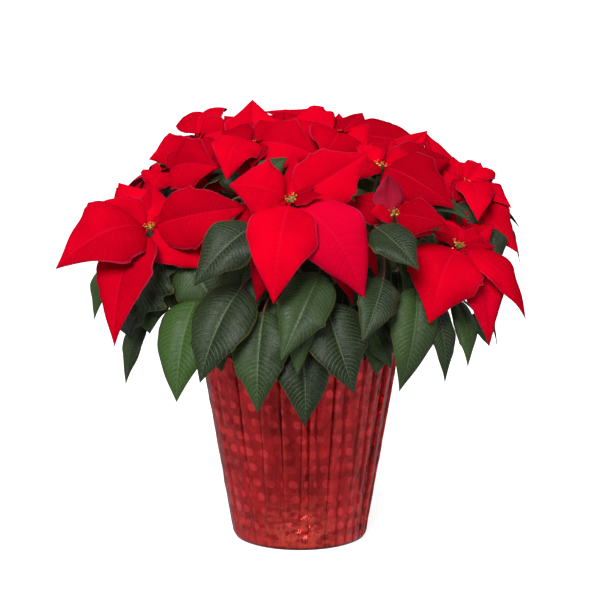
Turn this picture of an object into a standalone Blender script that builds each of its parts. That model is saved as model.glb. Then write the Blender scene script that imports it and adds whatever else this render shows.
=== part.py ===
"""A flowering poinsettia in its nursery pot and pleated foil cover, in metres, with its base on the ground."""

import math
import random
from typing import NamedTuple

import bmesh
import bpy
import numpy as np
from mathutils import Matrix, Quaternion, Vector
from mathutils.bvhtree import BVHTree

# Where the plant is looked at from: the places of heads, bracts and leaves are given as they are seen there,
# across and down in steps of 0.9 mm, and by their depth in metres behind the pot's axis
STEP = 0.0009
VIEW_DISTANCE = 2.0
VIEW_PITCH = math.radians(10)
AIM_HEIGHT = 0.2165
AIM = 300

# Foil cover
COVER_BASE_RADIUS = 0.0600
COVER_TOP_RADIUS = 0.0890
COVER_HEIGHT = 0.178
COVER_WALL = 0.0008
COVER_FLOOR = 0.0012
COVER_PLEATS = 48
COVER_PLEAT_BASE = 0.0006
COVER_PLEAT_TOP = 0.0024
COVER_FOOT_LEVEL = 0.022
COVER_FOOT_ROUND = 0.003

# Nursery pot
POT_BASE_RADIUS = 0.0535
POT_TOP_RADIUS = 0.0775
POT_HEIGHT = 0.160
POT_WALL = 0.0015
POT_RIM_HEIGHT = 0.012
POT_RIM_OUT = 0.0025
POT_SIDES = 20
DRAIN_HOLES = 4
DRAIN_HOLE_RADIUS = 0.005
DRAIN_HOLE_AT = 0.036
DRAIN_HOLE_SIDES = 8
CUT_PAST = 0.002

# Potting mix
SOIL_HEIGHT = 0.142
SOIL_CROWN = 0.004
SOIL_CROWN_SHARE = 0.6
SOIL_SIDES = 20
STEM_HOLE_DEPTH = 0.045
SEAT_GAP = 0.0003

# Stems
TRUNKS = {"left": (-0.030, 0.008), "middle": (0.012, -0.028), "right": (0.028, 0.032)}
TRUNK_RADIUS = 0.0042
TRUNK_TOP = 0.020
TRUNK_SIDES = 8
BRANCH_RADIUS = 0.0027
BRANCH_TIP_RADIUS = 0.0021
BRANCH_POINTS = 5
BRANCH_LEAN = 0.8
BRANCH_RISE = 0.25
BRANCH_ARRIVAL = 0.28
NECK = 0.006

# Heads
HUB_RADIUS = 0.0042
HUB_HEIGHT = 0.0100
ROOT_DEPTH = 0.0070
ROOT_OUT = 0.0020
HUB_SIDES = 6
HUB_TILT = 3.0
CUP_COUNT = 4
CUP_SIDES = 4
CUP_FOOT_RADIUS = 0.0011
CUP_MOUTH_RADIUS = 0.0023
CUP_HEIGHT = 0.0055
CUP_RING = 0.0020
CUP_SINK = 0.0005
CUP_SPLAY = 0.35
CUP_PLATE = 0.0015
CLUSTER_FOOT_RADIUS = 0.0035
CLUSTER_TOP_RADIUS = 0.0055

# Blades
BLADE_THICKNESS = 0.0008
STALK_THICKNESS = 0.0018
CLEARANCE = 0.0006
ROD_CLEARANCE = 0.0012
STALK_HALF_WIDTH = 0.0012
TIP_HALF_WIDTH = 0.0005
STALK_SHARE = 0.10
LEAF_ARCH = 0.12
LEAF_TURNED = 0.5
LEAF_FACE_RISE = 0.8
BEND_AT = 0.45
RISE_POWER = 0.55
FALL_POWER = 0.85
GROOVE = 0.25
DROOP = 0.40
TEETH = 4
TOOTH_DEPTH = 0.22
TOOTH_SHIFT = 0.05
BROAD_WIDTH = 0.0505
PLAIN_ROWS = (0.0, 0.28, 0.62, 1.0)
TOOTHED_ROWS = (0.0, 0.16, 0.30, 0.42, 0.56, 0.68, 0.80, 1.0)
DEPTH_SHIFTS = (0, 6, -6, 12, -12, 18, -18, 24, -24, 32, -32, 40, -40, 50, -50)
VIEWER = Vector((0.0, -1.0, 0.18))
TURN_SHIFTS = (0, 8, -8, 16, -16, 24, -24, 32, -32)

# Each head: across, down, depth, trunk
HEADS = {
    "h01": (291, 199, -0.105, "middle"),
    "h02": (149, 227, -0.055, "left"),
    "h03": (394, 213, -0.085, "middle"),
    "h04": (381, 165, -0.010, "right"),
    "h05": (459, 244, -0.060, "middle"),
    "h06": (166, 170, 0.020, "left"),
    "h07": (196, 139, 0.080, "left"),
    "h08": (254, 141, 0.005, "left"),
    "h09": (340, 131, 0.060, "right"),
    "h10": (468, 180, 0.030, "right"),
    "h11": (190, 178, 0.140, "left"),
    "h12": (294, 160, 0.155, "right"),
    "h13": (398, 172, 0.135, "right"),
    "h14": (314, 202, -0.020, "right"),
}

# Each bract: the tip's across, down and depth, its width in mm, its arch, and how far its face turns to the front
BRACTS = {
    "h01": (
        (274, 304, -0.158, 64, 0.20, 0.3),
        (364, 299, -0.128, 60, 0.22, 0.6),
        (368, 153, -0.085, 56, -0.06, 0.8),
        (229, 186, -0.128, 50, 0.22, 0.6),
        (294, 151, -0.080, 20, -0.15, 0.5),
    ),
    "h02": (
        (55, 269, -0.095, 70, 0.28, 0.6),
        (115, 346, -0.112, 56, 0.20, 0.4),
        (250, 207, -0.090, 56, 0.12, 0.7),
        (212, 270, -0.095, 42, 0.15, 0.6),
        (150, 184, -0.035, 36, -0.12, 0.6),
        (116, 187, -0.020, 44, 0.02, 0.7),
    ),
    "h03": (
        (446, 224, -0.105, 34, 0.10, 0.7),
        (371, 212, -0.110, 22, 0.05, 0.6),
        (388, 173, -0.085, 30, -0.16, 0.3),
        (353, 197, -0.075, 36, 0.00, 0.6),
        (425, 203, -0.060, 24, 0.00, 0.5),
    ),
    "h04": (
        (454, 208, -0.055, 54, 0.16, 0.7),
        (354, 181, -0.050, 18, 0.10, 0.6),
        (392, 138, 0.020, 36, -0.08, 0.6),
        (360, 144, 0.000, 32, -0.08, 0.6),
        (428, 130, 0.045, 36, -0.06, 0.7),
        (420, 162, -0.010, 34, 0.10, 0.6),
    ),
    "h05": (
        (429, 323, -0.112, 76, 0.18, 0.5),
        (525, 319, -0.070, 30, 0.24, 0.5),
        (489, 346, -0.078, 40, 0.18, 0.5),
        (437, 211, -0.045, 14, -0.12, 0.6),
        (453, 206, -0.040, 13, -0.12, 0.6),
        (468, 209, -0.035, 13, -0.12, 0.6),
        (494, 224, -0.020, 30, -0.03, 0.6),
    ),
    "h06": (
        (218, 168, -0.015, 52, 0.12, 0.7),
        (150, 194, -0.010, 34, 0.16, 0.7),
        (144, 182, 0.030, 36, 0.15, 0.7),
        (192, 148, 0.010, 30, -0.05, 0.6),
    ),
    "h07": (
        (149, 159, 0.050, 60, 0.16, 0.7),
        (212, 122, 0.145, 50, 0.22, 0.2),
        (236, 130, 0.070, 42, 0.15, 0.7),
        (206, 174, 0.040, 44, 0.18, 0.6),
        (170, 176, 0.050, 40, 0.18, 0.6),
    ),
    "h08": (
        (226, 181, -0.045, 44, 0.22, 0.6),
        (253, 100, 0.045, 42, -0.08, 0.8),
        (318, 156, -0.020, 52, 0.15, 0.7),
        (252, 168, -0.035, 28, 0.15, 0.6),
        (292, 120, 0.035, 38, -0.04, 0.7),
        (222, 132, 0.020, 34, 0.10, 0.6),
    ),
    "h09": (
        (284, 124, 0.080, 50, 0.18, 0.5),
        (339, 113, 0.080, 18, -0.10, 0.6),
        (424, 144, 0.045, 48, 0.18, 0.6),
        (324, 158, 0.010, 50, 0.12, 0.7),
        (368, 152, 0.015, 38, 0.12, 0.7),
    ),
    "h10": (
        (483, 175, 0.070, 32, 0.25, 0.3),
        (515, 215, 0.030, 30, 0.22, 0.4),
        (513, 232, 0.000, 40, 0.18, 0.6),
        (521, 253, -0.020, 36, 0.20, 0.6),
        (453, 156, 0.040, 18, -0.10, 0.6),
        (455, 202, -0.005, 26, 0.12, 0.6),
        (478, 222, -0.020, 34, 0.15, 0.7),
    ),
}

# Bracts that hang behind these and behind the leaves, given in the same way
BRACTS_BEHIND = {
    "h01": (
        (256, 303, -0.100, 36, 0.20, 0.4),
        (236, 290, -0.070, 28, 0.20, 0.4),
        (352, 304, -0.095, 38, 0.20, 0.4),
        (378, 281, -0.090, 36, 0.25, 0.3),
    ),
}

# Bracts placed by rule round the heads: how many, from and to which bearing, length, width in mm
BRACT_RINGS = {
    "h01": (1, 70, 110, 0.055, 34),
    "h02": (1, 110, 170, 0.060, 34),
    "h03": (1, 20, 80, 0.050, 30),
    "h04": (1, 100, 170, 0.055, 34),
    "h05": (1, 30, 80, 0.055, 30),
    "h06": (2, 60, 150, 0.060, 36),
    "h07": (2, 40, 120, 0.062, 36),
    "h08": (1, 50, 100, 0.055, 34),
    "h09": (2, 40, 130, 0.062, 36),
    "h10": (2, 40, 110, 0.062, 36),
    "h11": (6, 20, 320, 0.070, 40),
    "h12": (6, -60, 240, 0.070, 40),
    "h13": (6, -105, 155, 0.070, 40),
    "h14": (5, 0, 360, 0.058, 40),
}

# Each leaf: the head whose branch bears it and how far up, the blade's base and its tip as across, down and depth,
# its width in mm, and whether its edge is toothed
LEAVES = (
    ("h01", 0.84, (252, 226, -0.115), (194, 287, -0.130), 46, False),
    ("h02", 0.80, (188, 256, -0.085), (232, 322, -0.112), 52, False),
    ("h02", 0.62, (188, 300, -0.080), (176, 402, -0.100), 46, False),
    ("h01", 0.62, (242, 288, -0.100), (200, 383, -0.125), 56, False),
    ("h01", 0.50, (264, 312, -0.105), (258, 413, -0.122), 50, False),
    ("h01", 0.45, (298, 330, -0.100), (305, 426, -0.115), 50, False),
    ("h01", 0.75, (320, 274, -0.112), (281, 361, -0.150), 46, False),
    ("h03", 0.60, (326, 304, -0.110), (354, 393, -0.130), 54, False),
    ("h03", 0.70, (384, 278, -0.105), (362, 342, -0.140), 36, False),
    ("h05", 0.60, (424, 288, -0.100), (399, 391, -0.120), 60, False),
    ("h05", 0.62, (448, 298, -0.085), (445, 382, -0.100), 34, False),
    ("h05", 0.65, (456, 300, -0.060), (468, 367, -0.075), 30, False),
    ("h02", 0.60, (134, 318, -0.045), (126, 384, -0.060), 22, False),
    ("h02", 0.75, (112, 262, -0.020), (94, 320, -0.035), 26, False),
    ("h02", 0.70, (166, 256, -0.060), (132, 336, -0.060), 54, True),
    ("h03", 0.85, (376, 228, -0.110), (419, 271, -0.145), 40, False),
    ("h10", 0.80, (474, 212, -0.015), (500, 250, -0.035), 22, False),
    ("h04", 0.85, (420, 198, -0.035), (472, 222, -0.050), 20, False),
    ("h08", 0.85, (270, 178, -0.040), (260, 163, -0.058), 24, False),
    ("h03", 0.50, (368, 322, -0.085), (391, 368, -0.088), 26, False),
    ("h01", 0.55, (305, 312, -0.118), (298, 376, -0.128), 24, False),
    ("h01", 0.50, (284, 298, -0.095), (272, 371, -0.112), 34, False),
    ("h01", 0.60, (248, 266, -0.084), (240, 334, -0.098), 42, False),
    ("h08", 0.80, (275, 165, 0.030), (312, 178, 0.050), 36, False),
    ("h09", 0.75, (325, 162, 0.050), (298, 190, 0.030), 36, False),
    ("h04", 0.80, (352, 178, 0.010), (326, 198, -0.010), 34, False),
    ("h12", 0.80, (290, 182, 0.110), (262, 205, 0.090), 34, False),
    ("h02", 0.45, (212, 312, -0.060), (222, 372, -0.080), 40, False),
    ("h03", 0.45, (372, 312, -0.070), (376, 376, -0.085), 40, False),
    ("h05", 0.75, (420, 240, -0.060), (404, 300, -0.080), 40, False),
    ("h02", 0.85, (196, 234, -0.050), (236, 264, -0.060), 40, False),
    ("h01", 0.70, (296, 258, -0.075), (322, 322, -0.085), 48, False),
    ("h03", 0.75, (374, 248, -0.075), (350, 308, -0.085), 44, False),
    ("h04", 0.75, (414, 182, -0.020), (446, 226, -0.030), 40, False),
    ("h05", 0.55, (398, 272, -0.060), (392, 335, -0.080), 44, False),
    ("h06", 0.85, (168, 186, 0.000), (184, 226, -0.020), 40, False),
    ("h05", 0.80, (444, 240, -0.030), (420, 288, -0.050), 40, False),
    ("h03", 0.80, (376, 224, -0.058), (350, 250, -0.062), 36, False),
    ("h02", 0.75, (164, 262, -0.020), (192, 318, -0.045), 44, False),
)

# Leaves placed by rule round every branch: how far up it, bearing from the head's own, reach of stalk, length
LEAF_RING_HEADS = ("h04", "h06", "h07", "h08", "h09", "h10", "h11", "h12", "h13")
LEAF_RING = ((0.45, -28, 0.044, 0.085), (0.60, 30, 0.036, 0.080), (0.78, 0, 0.026, 0.066))
RING_LENGTHS = (0.85, 1.1)
RING_FALLS = (0.15, 0.55)
RING_ARCH = 0.2
RING_STALK_DROP = 0.006
RING_LEAF_OUT = 0.5
RING_LEAF_DOWN = 0.8
RING_LEAF_WIDTH = 0.52
RING_SEED = 12


class Blade(NamedTuple):
    """A leaf or bract: its stalk's foot, its blade's ends, the side that it arches to, and its form."""

    foot: Vector
    root: Vector
    tip: Vector
    face: Vector
    width: float
    lift: float
    stalk: float
    rows: tuple
    columns: int
    toothed: bool


def seen(across, down, depth):
    """The point at this depth that is seen at these steps across and down from the front, a little above level."""
    q = (AIM - down) * STEP
    level, upright = math.cos(VIEW_PITCH), math.sin(VIEW_PITCH)
    rise = (q * (1 + depth * level / VIEW_DISTANCE) - depth * upright) / (level + q * upright / VIEW_DISTANCE)
    reach = 1 + (depth * level - rise * upright) / VIEW_DISTANCE
    return Vector(((across - AIM) * STEP * reach, depth, AIM_HEIGHT + rise))


def head_frame(name):
    """The top of a head's hub and the direction that the head faces, more outward the further out it stands."""
    across, down, depth, _ = HEADS[name]
    top = seen(across, down, depth)
    return top, Vector((top.x * HUB_TILT, top.y * HUB_TILT, 1)).normalized()


def outline(blade, u):
    """Half the blade's width at each share u of its length: a stalk, a quick rise, and a long fall to the tip."""
    t = np.clip((u - blade.stalk) / (1 - blade.stalk), 0, 1)
    widest = RISE_POWER / (RISE_POWER + FALL_POWER)
    most = widest**RISE_POWER * (1 - widest) ** FALL_POWER
    half = blade.width / 2 * t**RISE_POWER * (1 - t) ** FALL_POWER / most
    if blade.toothed:
        half = half * (1 + TOOTH_DEPTH * np.cos(2 * np.pi * TEETH * (t - TOOTH_SHIFT)))
    least = np.where(u < 0.5, STALK_HALF_WIDTH, TIP_HALF_WIDTH)
    return np.maximum(half, least)


def thickness(blade, u):
    """The thickness at each share of the length: the stalk's, then the blade's."""
    return np.where(u <= blade.stalk, STALK_THICKNESS, BLADE_THICKNESS)


def blade_points(blade, u, v):
    """Points and upward normals of the blade at shares u of its length and v, -1 to 1, across it.

    The midrib is a parabola from root to tip, arched to the blade's face. Across it the blade rises from the
    midrib as a shallow V and droops towards its edges with the square of v. Below nought, u runs down a straight
    stalk to its foot at -1, and where the two meet the blade is turned halfway.
    """
    root, tip = np.array(blade.root), np.array(blade.tip)
    chord = tip - root
    length = np.linalg.norm(chord)
    chord = chord / length
    face = np.array(blade.face)
    face = face - chord * face.dot(chord)
    face = face / np.linalg.norm(face)
    side = np.cross(chord, face)
    bend = root + chord * length * BEND_AT + face * blade.lift * length * 2
    u3 = u[..., None]
    middle = root * (1 - u3) ** 2 + bend * 2 * u3 * (1 - u3) + tip * u3**2
    along = 2 * (1 - u3) * (bend - root) + 2 * u3 * (tip - bend)
    along = along / np.linalg.norm(along, axis=-1, keepdims=True)
    normal = np.cross(side, along)
    if blade.foot != blade.root:
        foot = np.array(blade.foot)
        middle = np.where(u3 < 0, root + (foot - root) * -u3, middle)
        start = Vector(bend - root).normalized()
        turn = start.rotation_difference(Vector(root - foot))
        for turn, there in ((turn, u3 < 0), (Quaternion().slerp(turn, 0.5), u3 == 0)):
            along = np.where(there, turn @ start, along)
            normal = np.where(there, turn @ Vector(side).cross(start), normal)
    side = np.cross(along, normal)
    half = outline(blade, u)
    height = half * (GROOVE * np.abs(v) - DROOP * v**2)
    points = middle + side * (half * v)[..., None] + normal * height[..., None]
    return points, normal


def blade_rows(blade):
    """The shares of the blade's length that its rows stand at, first its foot."""
    first = -1.0 if blade.stalk == 0 else 0.0
    return (first,) + tuple(blade.stalk + (1 - blade.stalk) * t for t in blade.rows)


def blade_tree(blade, skipped=0):
    """A search tree of the blade, thickened by its clearance, with the rows next to its root left out or kept."""
    rows = blade_rows(blade)[skipped:]
    u, v = np.meshgrid(rows, np.linspace(-1, 1, blade.columns + 1), indexing="ij")
    points, normals = blade_points(blade, u, v)
    rise = normals * (thickness(blade, u) / 2 + CLEARANCE)[..., None]
    upper = (points + rise).reshape(-1, 3)
    lower = (points - rise).reshape(-1, 3)
    across = blade.columns + 1
    faces = []
    for row in range(len(rows) - 1):
        for column in range(blade.columns):
            a = row * across + column
            faces += [(a, a + 1, a + across), (a + 1, a + across + 1, a + across)]
    faces += [tuple(corner + len(upper) for corner in face) for face in faces]
    corners = np.concatenate([upper, lower])
    return search_tree(corners, faces)


def crosses(one, two):
    """Whether two search trees cross, their boxes looked at first."""
    if (one[1] > two[2]).any() or (one[2] < two[1]).any():
        return False
    return bool(one[0].overlap(two[0]))


def search_tree(corners, faces):
    """A search tree with the box that it lies in."""
    tree = BVHTree.FromPolygons([Vector(corner) for corner in corners], faces)
    return tree, corners.min(axis=0), corners.max(axis=0)


def rod_tree(start, end, radius, end_radius=None):
    """A search tree of a six-sided rod, thickened by its clearance."""
    axis = (end - start).normalized()
    side = axis.orthogonal().normalized()
    spokes = [Matrix.Rotation(math.radians(60 * i), 3, axis) @ side for i in range(6)]
    wide, wide_end = (r + ROD_CLEARANCE for r in (radius, end_radius or radius))
    corners = np.array([start + s * wide for s in spokes] + [end + s * wide_end for s in spokes])
    faces = [(i, (i + 1) % 6, (i + 1) % 6 + 6, i + 6) for i in range(6)]
    return search_tree(corners, faces + [(5, 4, 3, 2, 1, 0), (6, 7, 8, 9, 10, 11)])


class Crowd:
    """What is already placed, for keeping each new blade clear of every node but its own."""

    def __init__(self):
        self.placed = []

    def add(self, node, whole, outer):
        """Keeps a piece's search tree, and the tree of what lies clear of its root, which may be None."""
        self.placed.append((node, whole, outer))

    def meets(self, node, whole, outer):
        """Whether the whole piece crosses another node, and whether its outer part crosses its own."""
        own = False
        for other, other_whole, other_outer in self.placed:
            if other != node and crosses(whole, other_whole):
                return True, own
            if other == node and not own and outer and other_outer:
                own = crosses(outer, other_outer)
        return False, own

    def settle(self, node, choices):
        """The first blade that crosses nothing, or else the first that crosses only its own node, or none."""
        spare = []
        for blade, whole, outer in choices:
            foreign, own = self.meets(node, whole, outer)
            if foreign:
                continue
            if not own:
                spare = [(blade, whole, outer)]
                break
            spare = spare or [(blade, whole, outer)]
        for _, whole, outer in spare:
            self.add(node, whole, outer)
        return [blade for blade, _, _ in spare]


def branch_path(name):
    """The points of the branch that bears this head, from inside its trunk to just under the hub."""
    top, face = head_frame(name)
    end = top - face * (HUB_HEIGHT + SEAT_GAP + NECK)
    x, y = TRUNKS[HEADS[name][3]]
    start = Vector((x, y, SOIL_HEIGHT + TRUNK_TOP / 2))
    reach = (end - start).length
    first = start + (Vector((0, 0, 1)) + (end - start).normalized() * BRANCH_LEAN) * reach * BRANCH_RISE
    last = end - face * reach * BRANCH_ARRIVAL
    points = []
    for i in range(BRANCH_POINTS):
        t = i / (BRANCH_POINTS - 1)
        points.append(
            start * (1 - t) ** 3 + first * 3 * t * (1 - t) ** 2 + last * 3 * t**2 * (1 - t) + end * t**3
        )
    return points + [end + face * NECK]


def point_on(path, share):
    """The point at this share of a path's points."""
    place = share * (len(path) - 1)
    index = min(int(place), len(path) - 2)
    return path[index].lerp(path[index + 1], place - index)


def bract(name, tip, width, lift, turned):
    """A bract of this head, rooted in its hub."""
    top, face = head_frame(name)
    columns = 4 if width > BROAD_WIDTH else 2
    out = tip - top
    out = (out - face * out.dot(face)).normalized()
    root = top - face * ROOT_DEPTH + out * ROOT_OUT
    return Blade(root, root, tip, face.lerp(VIEWER, turned), width, lift, STALK_SHARE, PLAIN_ROWS, columns, False)


def bract_choice(blade):
    """A bract with its search trees: the whole of it, and what lies clear of its hub."""
    return blade, blade_tree(blade), blade_tree(blade, 2)


def place_bracts(crowd, found, table):
    """Each head's bracts, each moved nearer or further until it is clear of the other nodes."""
    for name, bracts in table.items():
        for across, down, depth, width, lift, turned in bracts:
            choices = []
            for shift in DEPTH_SHIFTS:
                tip = seen(across, down, depth + shift / 1000)
                blade = bract(name, tip, width / 1000, lift, turned)
                choices.append(bract_choice(blade))
            found[name] += crowd.settle("bracts_" + name, choices)


def place_ring_bracts(crowd, found):
    """The bracts of the far side, spread evenly over their bearings, each turned until it is clear."""
    draw = random.Random(RING_SEED)
    for name, (count, start, stop, length, width) in BRACT_RINGS.items():
        top, _ = head_frame(name)
        for i in range(count):
            bearing = start + (stop - start) * (i + 0.5) / count
            long = length * draw.uniform(*RING_LENGTHS)
            fall = draw.uniform(*RING_FALLS)
            choices = []
            for turn in TURN_SHIFTS:
                angle = math.radians(bearing + turn)
                out = Vector((math.cos(angle), math.sin(angle), -fall))
                blade = bract(name, top + out * long, width / 1000, RING_ARCH, 0)
                choices.append(bract_choice(blade))
            found[name] += crowd.settle("bracts_" + name, choices)


def leaf(foot, base, tip, width, turned, toothed):
    """A leaf on its stalk, which faces up and outwards."""
    out = (tip - Vector((0, 0, tip.z))).normalized()
    face = Vector((out.x, out.y, LEAF_FACE_RISE)).lerp(VIEWER, turned)
    rows = TOOTHED_ROWS if toothed else PLAIN_ROWS
    columns = 4 if width > BROAD_WIDTH and tip.y < 0 and not toothed else 2
    return Blade(foot, base, tip, face, width, LEAF_ARCH, 0.0, rows, columns, toothed)


def leaf_choice(blade):
    """A leaf with its search trees: the whole of it, and its blade."""
    return blade, blade_tree(blade), blade_tree(blade, 1)


def place_leaves(crowd):
    """The leaves of each leafy stem with the feet of their stalks."""
    found = {trunk: [] for trunk in TRUNKS}
    for name, share, base, tip, width, toothed in LEAVES:
        trunk = HEADS[name][3]
        foot = point_on(branch_path(name), share)
        choices = []
        for shift in DEPTH_SHIFTS:
            start = seen(base[0], base[1], base[2] + shift / 2000)
            end = seen(tip[0], tip[1], tip[2] + shift / 1000)
            blade = leaf(foot, start, end, width / 1000, LEAF_TURNED, toothed)
            choices.append(leaf_choice(blade))
        found[trunk] += crowd.settle("leafy_stem_" + trunk, choices)
    return found


def place_ring_leaves(crowd, found):
    """The leaves of the far side, under its heads, each turned until it is clear."""
    for name in LEAF_RING_HEADS:
        trunk = HEADS[name][3]
        path = branch_path(name)
        top, _ = head_frame(name)
        own = math.degrees(math.atan2(top.y, top.x))
        for share, bearing, stalk, length in LEAF_RING:
            foot = point_on(path, share)
            choices = []
            for turn in TURN_SHIFTS:
                angle = math.radians(own + bearing + turn)
                out = Vector((math.cos(angle), math.sin(angle), 0))
                start = foot + out * stalk - Vector((0, 0, RING_STALK_DROP))
                end = start + (out * RING_LEAF_OUT - Vector((0, 0, RING_LEAF_DOWN))) * length
                blade = leaf(foot, start, end, length * RING_LEAF_WIDTH, 0, False)
                choices.append(leaf_choice(blade))
            found[trunk] += crowd.settle("leafy_stem_" + trunk, choices)


def material(name, color, roughness, metallic=0.0):
    """A plain Principled material."""
    made = bpy.data.materials.new(name)
    made.use_nodes = True
    shader = made.node_tree.nodes["Principled BSDF"]
    shader.inputs["Base Color"].default_value = (*color, 1)
    shader.inputs["Roughness"].default_value = roughness
    shader.inputs["Metallic"].default_value = metallic
    return made


def new_object(name, bm, collection):
    """A mesh object from a finished bmesh."""
    mesh = bpy.data.meshes.new(name)
    bm.to_mesh(mesh)
    bm.free()
    made = bpy.data.objects.new(name, mesh)
    collection.objects.link(made)
    return made


def blade_object(name, blade, collection):
    """A closed thin blade: a grid laid on the blade's surface, split alike on both faces and thickened."""
    rows = blade_rows(blade)
    bm = bmesh.new()
    bmesh.ops.create_grid(bm, x_segments=blade.columns, y_segments=len(rows) - 1, size=1)
    corners = np.array([vertex.co for vertex in bm.verts])
    v = corners[:, 0]
    row = np.rint((corners[:, 1] + 1) / 2 * (len(rows) - 1)).astype(int)
    u = np.array(rows)[row]
    points, normals = blade_points(blade, u, v)
    falls = normals * thickness(blade, u)[:, None]
    for vertex, point, fall in zip(bm.verts, points, falls):
        vertex.co = point + fall / 2
    bmesh.ops.triangulate(bm, faces=bm.faces[:], quad_method="FIXED")
    upper = list(zip([vertex.co.copy() for vertex in bm.verts], falls))
    bmesh.ops.extrude_face_region(bm, geom=bm.faces[:], use_keep_orig=True)
    bm.verts.ensure_lookup_table()
    for vertex in bm.verts[len(upper) :]:
        _, fall = min(upper, key=lambda place: (place[0] - vertex.co).length_squared)
        vertex.co -= Vector(fall)
    bmesh.ops.recalc_face_normals(bm, faces=bm.faces[:])
    return new_object(name, bm, collection)


def tube_object(name, points, radii, collection):
    """A closed tube along a line of points, with its radius given at each."""
    curve = bpy.data.curves.new(name, "CURVE")
    curve.dimensions = "3D"
    curve.bevel_depth = 1
    curve.bevel_resolution = 0
    curve.use_fill_caps = True
    spline = curve.splines.new("POLY")
    spline.points.add(len(points) - 1)
    for spline_point, point, radius in zip(spline.points, points, radii):
        spline_point.co = (*point, 1)
        spline_point.radius = radius
    helper = bpy.data.objects.new(name, curve)
    collection.objects.link(helper)
    graph = bpy.context.evaluated_depsgraph_get()
    bm = bmesh.new()
    bm.from_mesh(bpy.data.meshes.new_from_object(helper.evaluated_get(graph)))
    bpy.data.objects.remove(helper)
    bmesh.ops.remove_doubles(bm, verts=bm.verts[:], dist=0.00001)
    bmesh.ops.recalc_face_normals(bm, faces=bm.faces[:])
    return new_object(name, bm, collection)


def cone_object(name, foot, axis, height, foot_radius, top_radius, sides, collection):
    """A cylinder or cone standing on a foot point."""
    turn = Vector((0, 0, 1)).rotation_difference(axis).to_matrix().to_4x4()
    bm = bmesh.new()
    bmesh.ops.create_cone(
        bm,
        cap_ends=True,
        segments=sides,
        radius1=foot_radius,
        radius2=top_radius,
        depth=height,
        matrix=Matrix.Translation(foot) @ turn @ Matrix.Translation((0, 0, height / 2)),
    )
    return new_object(name, bm, collection)


def drop_scraps(bm):
    """Leaves only the body with the most faces, where faces that share an edge belong together."""
    waiting = set(bm.faces)
    bodies = []
    while waiting:
        rim = [waiting.pop()]
        body = set(rim)
        while rim:
            near = {other for face in rim for edge in face.edges for other in edge.link_faces} - body
            body |= near
            rim = list(near)
        waiting -= body
        bodies.append(body)
    largest = max(bodies, key=len)
    bmesh.ops.delete(bm, geom=[face for face in bm.faces if face not in largest], context="FACES")


def joined(name, pieces, made_of, collection):
    """One closed solid from pieces that run into each other."""
    base = pieces[0]
    helpers = bpy.data.collections.new(name + "_pieces")
    bpy.context.scene.collection.children.link(helpers)
    for piece in pieces[1:]:
        for owner in piece.users_collection:
            owner.objects.unlink(piece)
        helpers.objects.link(piece)
    union = base.modifiers.new("join", "BOOLEAN")
    union.operation = "UNION"
    union.operand_type = "COLLECTION"
    union.collection = helpers
    union.solver = "EXACT"
    graph = bpy.context.evaluated_depsgraph_get()
    graph.update()
    bm = bmesh.new()
    bm.from_mesh(bpy.data.meshes.new_from_object(base.evaluated_get(graph)))
    for piece in pieces:
        bpy.data.objects.remove(piece)
    bpy.data.collections.remove(helpers)
    bmesh.ops.remove_doubles(bm, verts=bm.verts[:], dist=0.000002)
    drop_scraps(bm)
    made = new_object(name, bm, collection)
    made.data.materials.clear()
    made.data.materials.append(made_of)
    return made


def cover_radius(level, part):
    """The outer radius of the foil cover at a share of its height, on a ridge (part 0) or in a valley (part 1)."""
    plain = COVER_BASE_RADIUS + (COVER_TOP_RADIUS - COVER_BASE_RADIUS) * level
    depth = COVER_PLEAT_BASE + (COVER_PLEAT_TOP - COVER_PLEAT_BASE) * level
    return plain + depth * (0.5 if part == 0 else -0.5)


def place_ring(ring, level, inset, height):
    """Sets a ring of the foil cover at a height, its points on ridges and in valleys by turns, less an inset."""
    step = math.pi / COVER_PLEATS
    for vertex in ring:
        place = round(math.atan2(vertex.co.y, vertex.co.x) / step)
        radius = cover_radius(level, place % 2) - inset
        vertex.co = (radius * math.cos(place * step), radius * math.sin(place * step), height)


def build_cover(collection, made_of):
    """The foil cover: from a flat floor its edge is drawn up as the pleated outside, and down again inside."""
    bm = bmesh.new()
    ring = bmesh.ops.create_circle(bm, cap_ends=True, radius=COVER_BASE_RADIUS, segments=2 * COVER_PLEATS)["verts"]
    edges = bm.edges[:]
    place_ring(ring, 0, COVER_FOOT_ROUND, 0)
    drawn = (
        (COVER_FOOT_LEVEL, 0, COVER_FOOT_LEVEL * COVER_HEIGHT),
        (1, 0, COVER_HEIGHT),
        (1, COVER_WALL, COVER_HEIGHT),
        (COVER_FOOT_LEVEL, COVER_WALL, COVER_FOOT_LEVEL * COVER_HEIGHT),
        (0, COVER_FOOT_ROUND + COVER_WALL, COVER_FLOOR),
    )
    for level, inset, height in drawn:
        grown = bmesh.ops.extrude_edge_only(bm, edges=edges)["geom"]
        edges = [item for item in grown if isinstance(item, bmesh.types.BMEdge)]
        place_ring([item for item in grown if isinstance(item, bmesh.types.BMVert)], level, inset, height)
    bmesh.ops.contextual_create(bm, geom=edges)
    bmesh.ops.recalc_face_normals(bm, faces=bm.faces[:])
    made = new_object("pot_cover", bm, collection)
    made.data.materials.append(made_of)
    return made


def turned(name, profile, sides, collection, made_of):
    """A solid turned about the upright axis from a closed outline of (radius, height) corners."""
    bm = bmesh.new()
    corners = [bm.verts.new((radius, 0, height)) for radius, height in profile]
    edges = [bm.edges.new(pair) for pair in zip(corners, corners[1:])]
    bmesh.ops.spin(
        bm,
        geom=corners + edges,
        axis=(0, 0, 1),
        cent=(0, 0, 0),
        angle=2 * math.pi,
        steps=sides,
        use_merge=True,
    )
    bmesh.ops.remove_doubles(bm, verts=bm.verts[:], dist=0.00001)
    bmesh.ops.recalc_face_normals(bm, faces=bm.faces[:])
    made = new_object(name, bm, collection)
    made.data.materials.append(made_of)
    return made


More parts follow.
